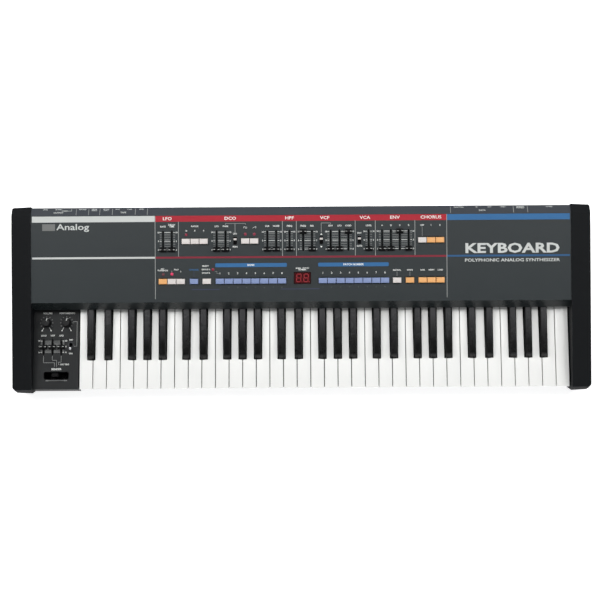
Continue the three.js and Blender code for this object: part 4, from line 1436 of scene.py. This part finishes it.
def centre_of(opening):
    """The middle of a rear opening along X and Z, and where its floor is."""
    low, high = opening["box_m"]
    return (low[0] + high[0]) / 2 / MM, (low[2] + high[2]) / 2 / MM, low[1] / MM


# ---------------------------------------------------------------- CAD nodes that stay

BOARD_THICK = 1.6
# The key frame takes the darkened steel, painted shade for the gaps between the keys.
KEPT = {
    "top_panel": ("panel", 0.35), "bottom_case": ("case", 0), "left_cheek": ("cheek", 2.0),
    "right_cheek": ("cheek", 2.0), "bender_panel": ("bender", 0.5), "key_frame": ("painted_shade_steel", 0.3),
    "display_window": ("window", 0.2), "panel_board": ("board", 0), "main_board": ("board", 0),
    "power_transformer": ("steel", 0.3), "jack_board": ("socket", 0),
    "bender_gimbal": ("deep", 0.2), "power_switch": ("deep", 0.4),
    "output_level_switch": ("deep", 0.3), "tape_level_switch": ("deep", 0.3),
    "midi_function_switch": ("deep", 0.3), "memory_protect_switch": ("deep", 0.3),
    "bender_lever": ("deep", 0.3),
}


def dress_node(node, finish, bevel):
    """Gives a CAD node its finish, the finishes of its parts, and round edges."""
    piece = NODES[node]
    piece.data.materials.clear()
    piece.data.materials.append(MATERIALS[finish])
    painters = {"top_panel": paint_folds, "bottom_case": paint_feet,
                "jack_board": paint_bushings, "panel_board": paint_bodies}
    if node in painters:
        painters[node](piece)
    if bevel:
        flat = piece.modifiers.new("flat_faces", "DECIMATE")
        flat.decimate_type = "DISSOLVE"
        flat.angle_limit = math.radians(1)
        flat.delimit = {"MATERIAL"}
        for face in piece.data.polygons:
            face.use_smooth = True
        soften_edges(piece, bevel, 3 if bevel > 1 else 2)


def paint_folds(panel):
    """The front lip gets a darker, glossier copy of the panel paint, painted shade on a face that looks down to
    the front, and the rear strip a paler one.
    """
    panel.data.materials.append(MATERIALS["lip"])
    panel.data.materials.append(MATERIALS["strip"])
    for face in panel.data.polygons:
        if face.normal.y < -0.5:
            face.material_index = 1
        elif face.normal.y > 0.2 and face.normal.z > 0.5:
            face.material_index = 2


def paint_feet(case):
    """The four feet are rubber."""
    case.data.materials.append(MATERIALS["rubber"])
    for face in case.data.polygons:
        if face.center.z < (FOOT_HEIGHT - 0.5) * MM:
            face.material_index = 1


def paint_bushings(board):
    """The threaded necks of the jacks are steel where they pass the rear wall."""
    board.data.materials.append(MATERIALS["steel"])
    jacks = [centre_of(opening) for opening in frame["record"]["physics"]["openings"]
             if opening["name"].startswith("jack_")]
    for face in board.data.polygons:
        x, y, z = face.center / MM
        near = min(math.hypot(x - jack[0], z - jack[1]) for jack in jacks)
        if y > REAR_WALL - 3 and near < 5:
            face.material_index = 1


def paint_bodies(board):
    """The slider and button bodies stand on the green board in black plastic."""
    board.data.materials.append(MATERIALS["deep"])
    back = PANEL.inverted()
    levels = [(back @ vertex.co).z / MM for vertex in board.data.vertices]
    board_top = min(levels) + BOARD_THICK
    for face in board.data.polygons:
        if min(levels[corner] for corner in face.vertices) > board_top - 0.2:
            normal_up = (back.to_3x3() @ face.normal).z > 0.9
            on_board = abs(max(levels[corner] for corner in face.vertices) - board_top) < 0.2
            if not (normal_up and on_board):
                face.material_index = 1


FLOOR_SIZE = 160


def make_floor():
    """A wide white floor."""
    bpy.ops.mesh.primitive_plane_add(size=FLOOR_SIZE, location=(0, 0, 0))
    floor = bpy.context.object
    floor.name = "floor"
    finish = make_material("floor", (0.88, 0.88, 0.88, 1.0), 0.85, mottle=0.004,
                           grain=(6, 0.02), specular=0.1, glow=0.8)
    floor.data.materials.append(finish)


# ---------------------------------------------------------------- the scene

make_camera()
make_studio()
bpy.context.scene.view_settings.view_transform = "Standard"
MATERIALS = make_materials()
make_floor()
for node_name, (finish_name, bevel_width) in KEPT.items():
    dress_node(node_name, finish_name, bevel_width)
for octave_number in range(1, OCTAVES + 1):
    make_white_keys(octave_number)
    make_black_keys(octave_number)
for slider_group in SLIDER_GROUPS:
    for slider_name, _ in slider_group:
        make_slider(slider_name + "_slider", PANEL)
for bender_slider in BENDER_SLIDERS:
    make_slider(bender_slider, BENDER_TOP)
make_slot_shades()
for button_group in BUTTON_COLOURS:
    make_buttons(button_group)
for mode_switch in ("pulse_width_switch", "filter_polarity_switch", "amplifier_mode_switch"):
    make_mode_switch(mode_switch)
for knob in ("volume_knob", "portamento_knob"):
    make_knob(knob)
make_display()
make_lamps()
make_toggle()
make_bender()
make_bands()
make_panel_lines()
make_panel_text()
make_icons()
make_strip()
make_bender_legends()
make_rear()
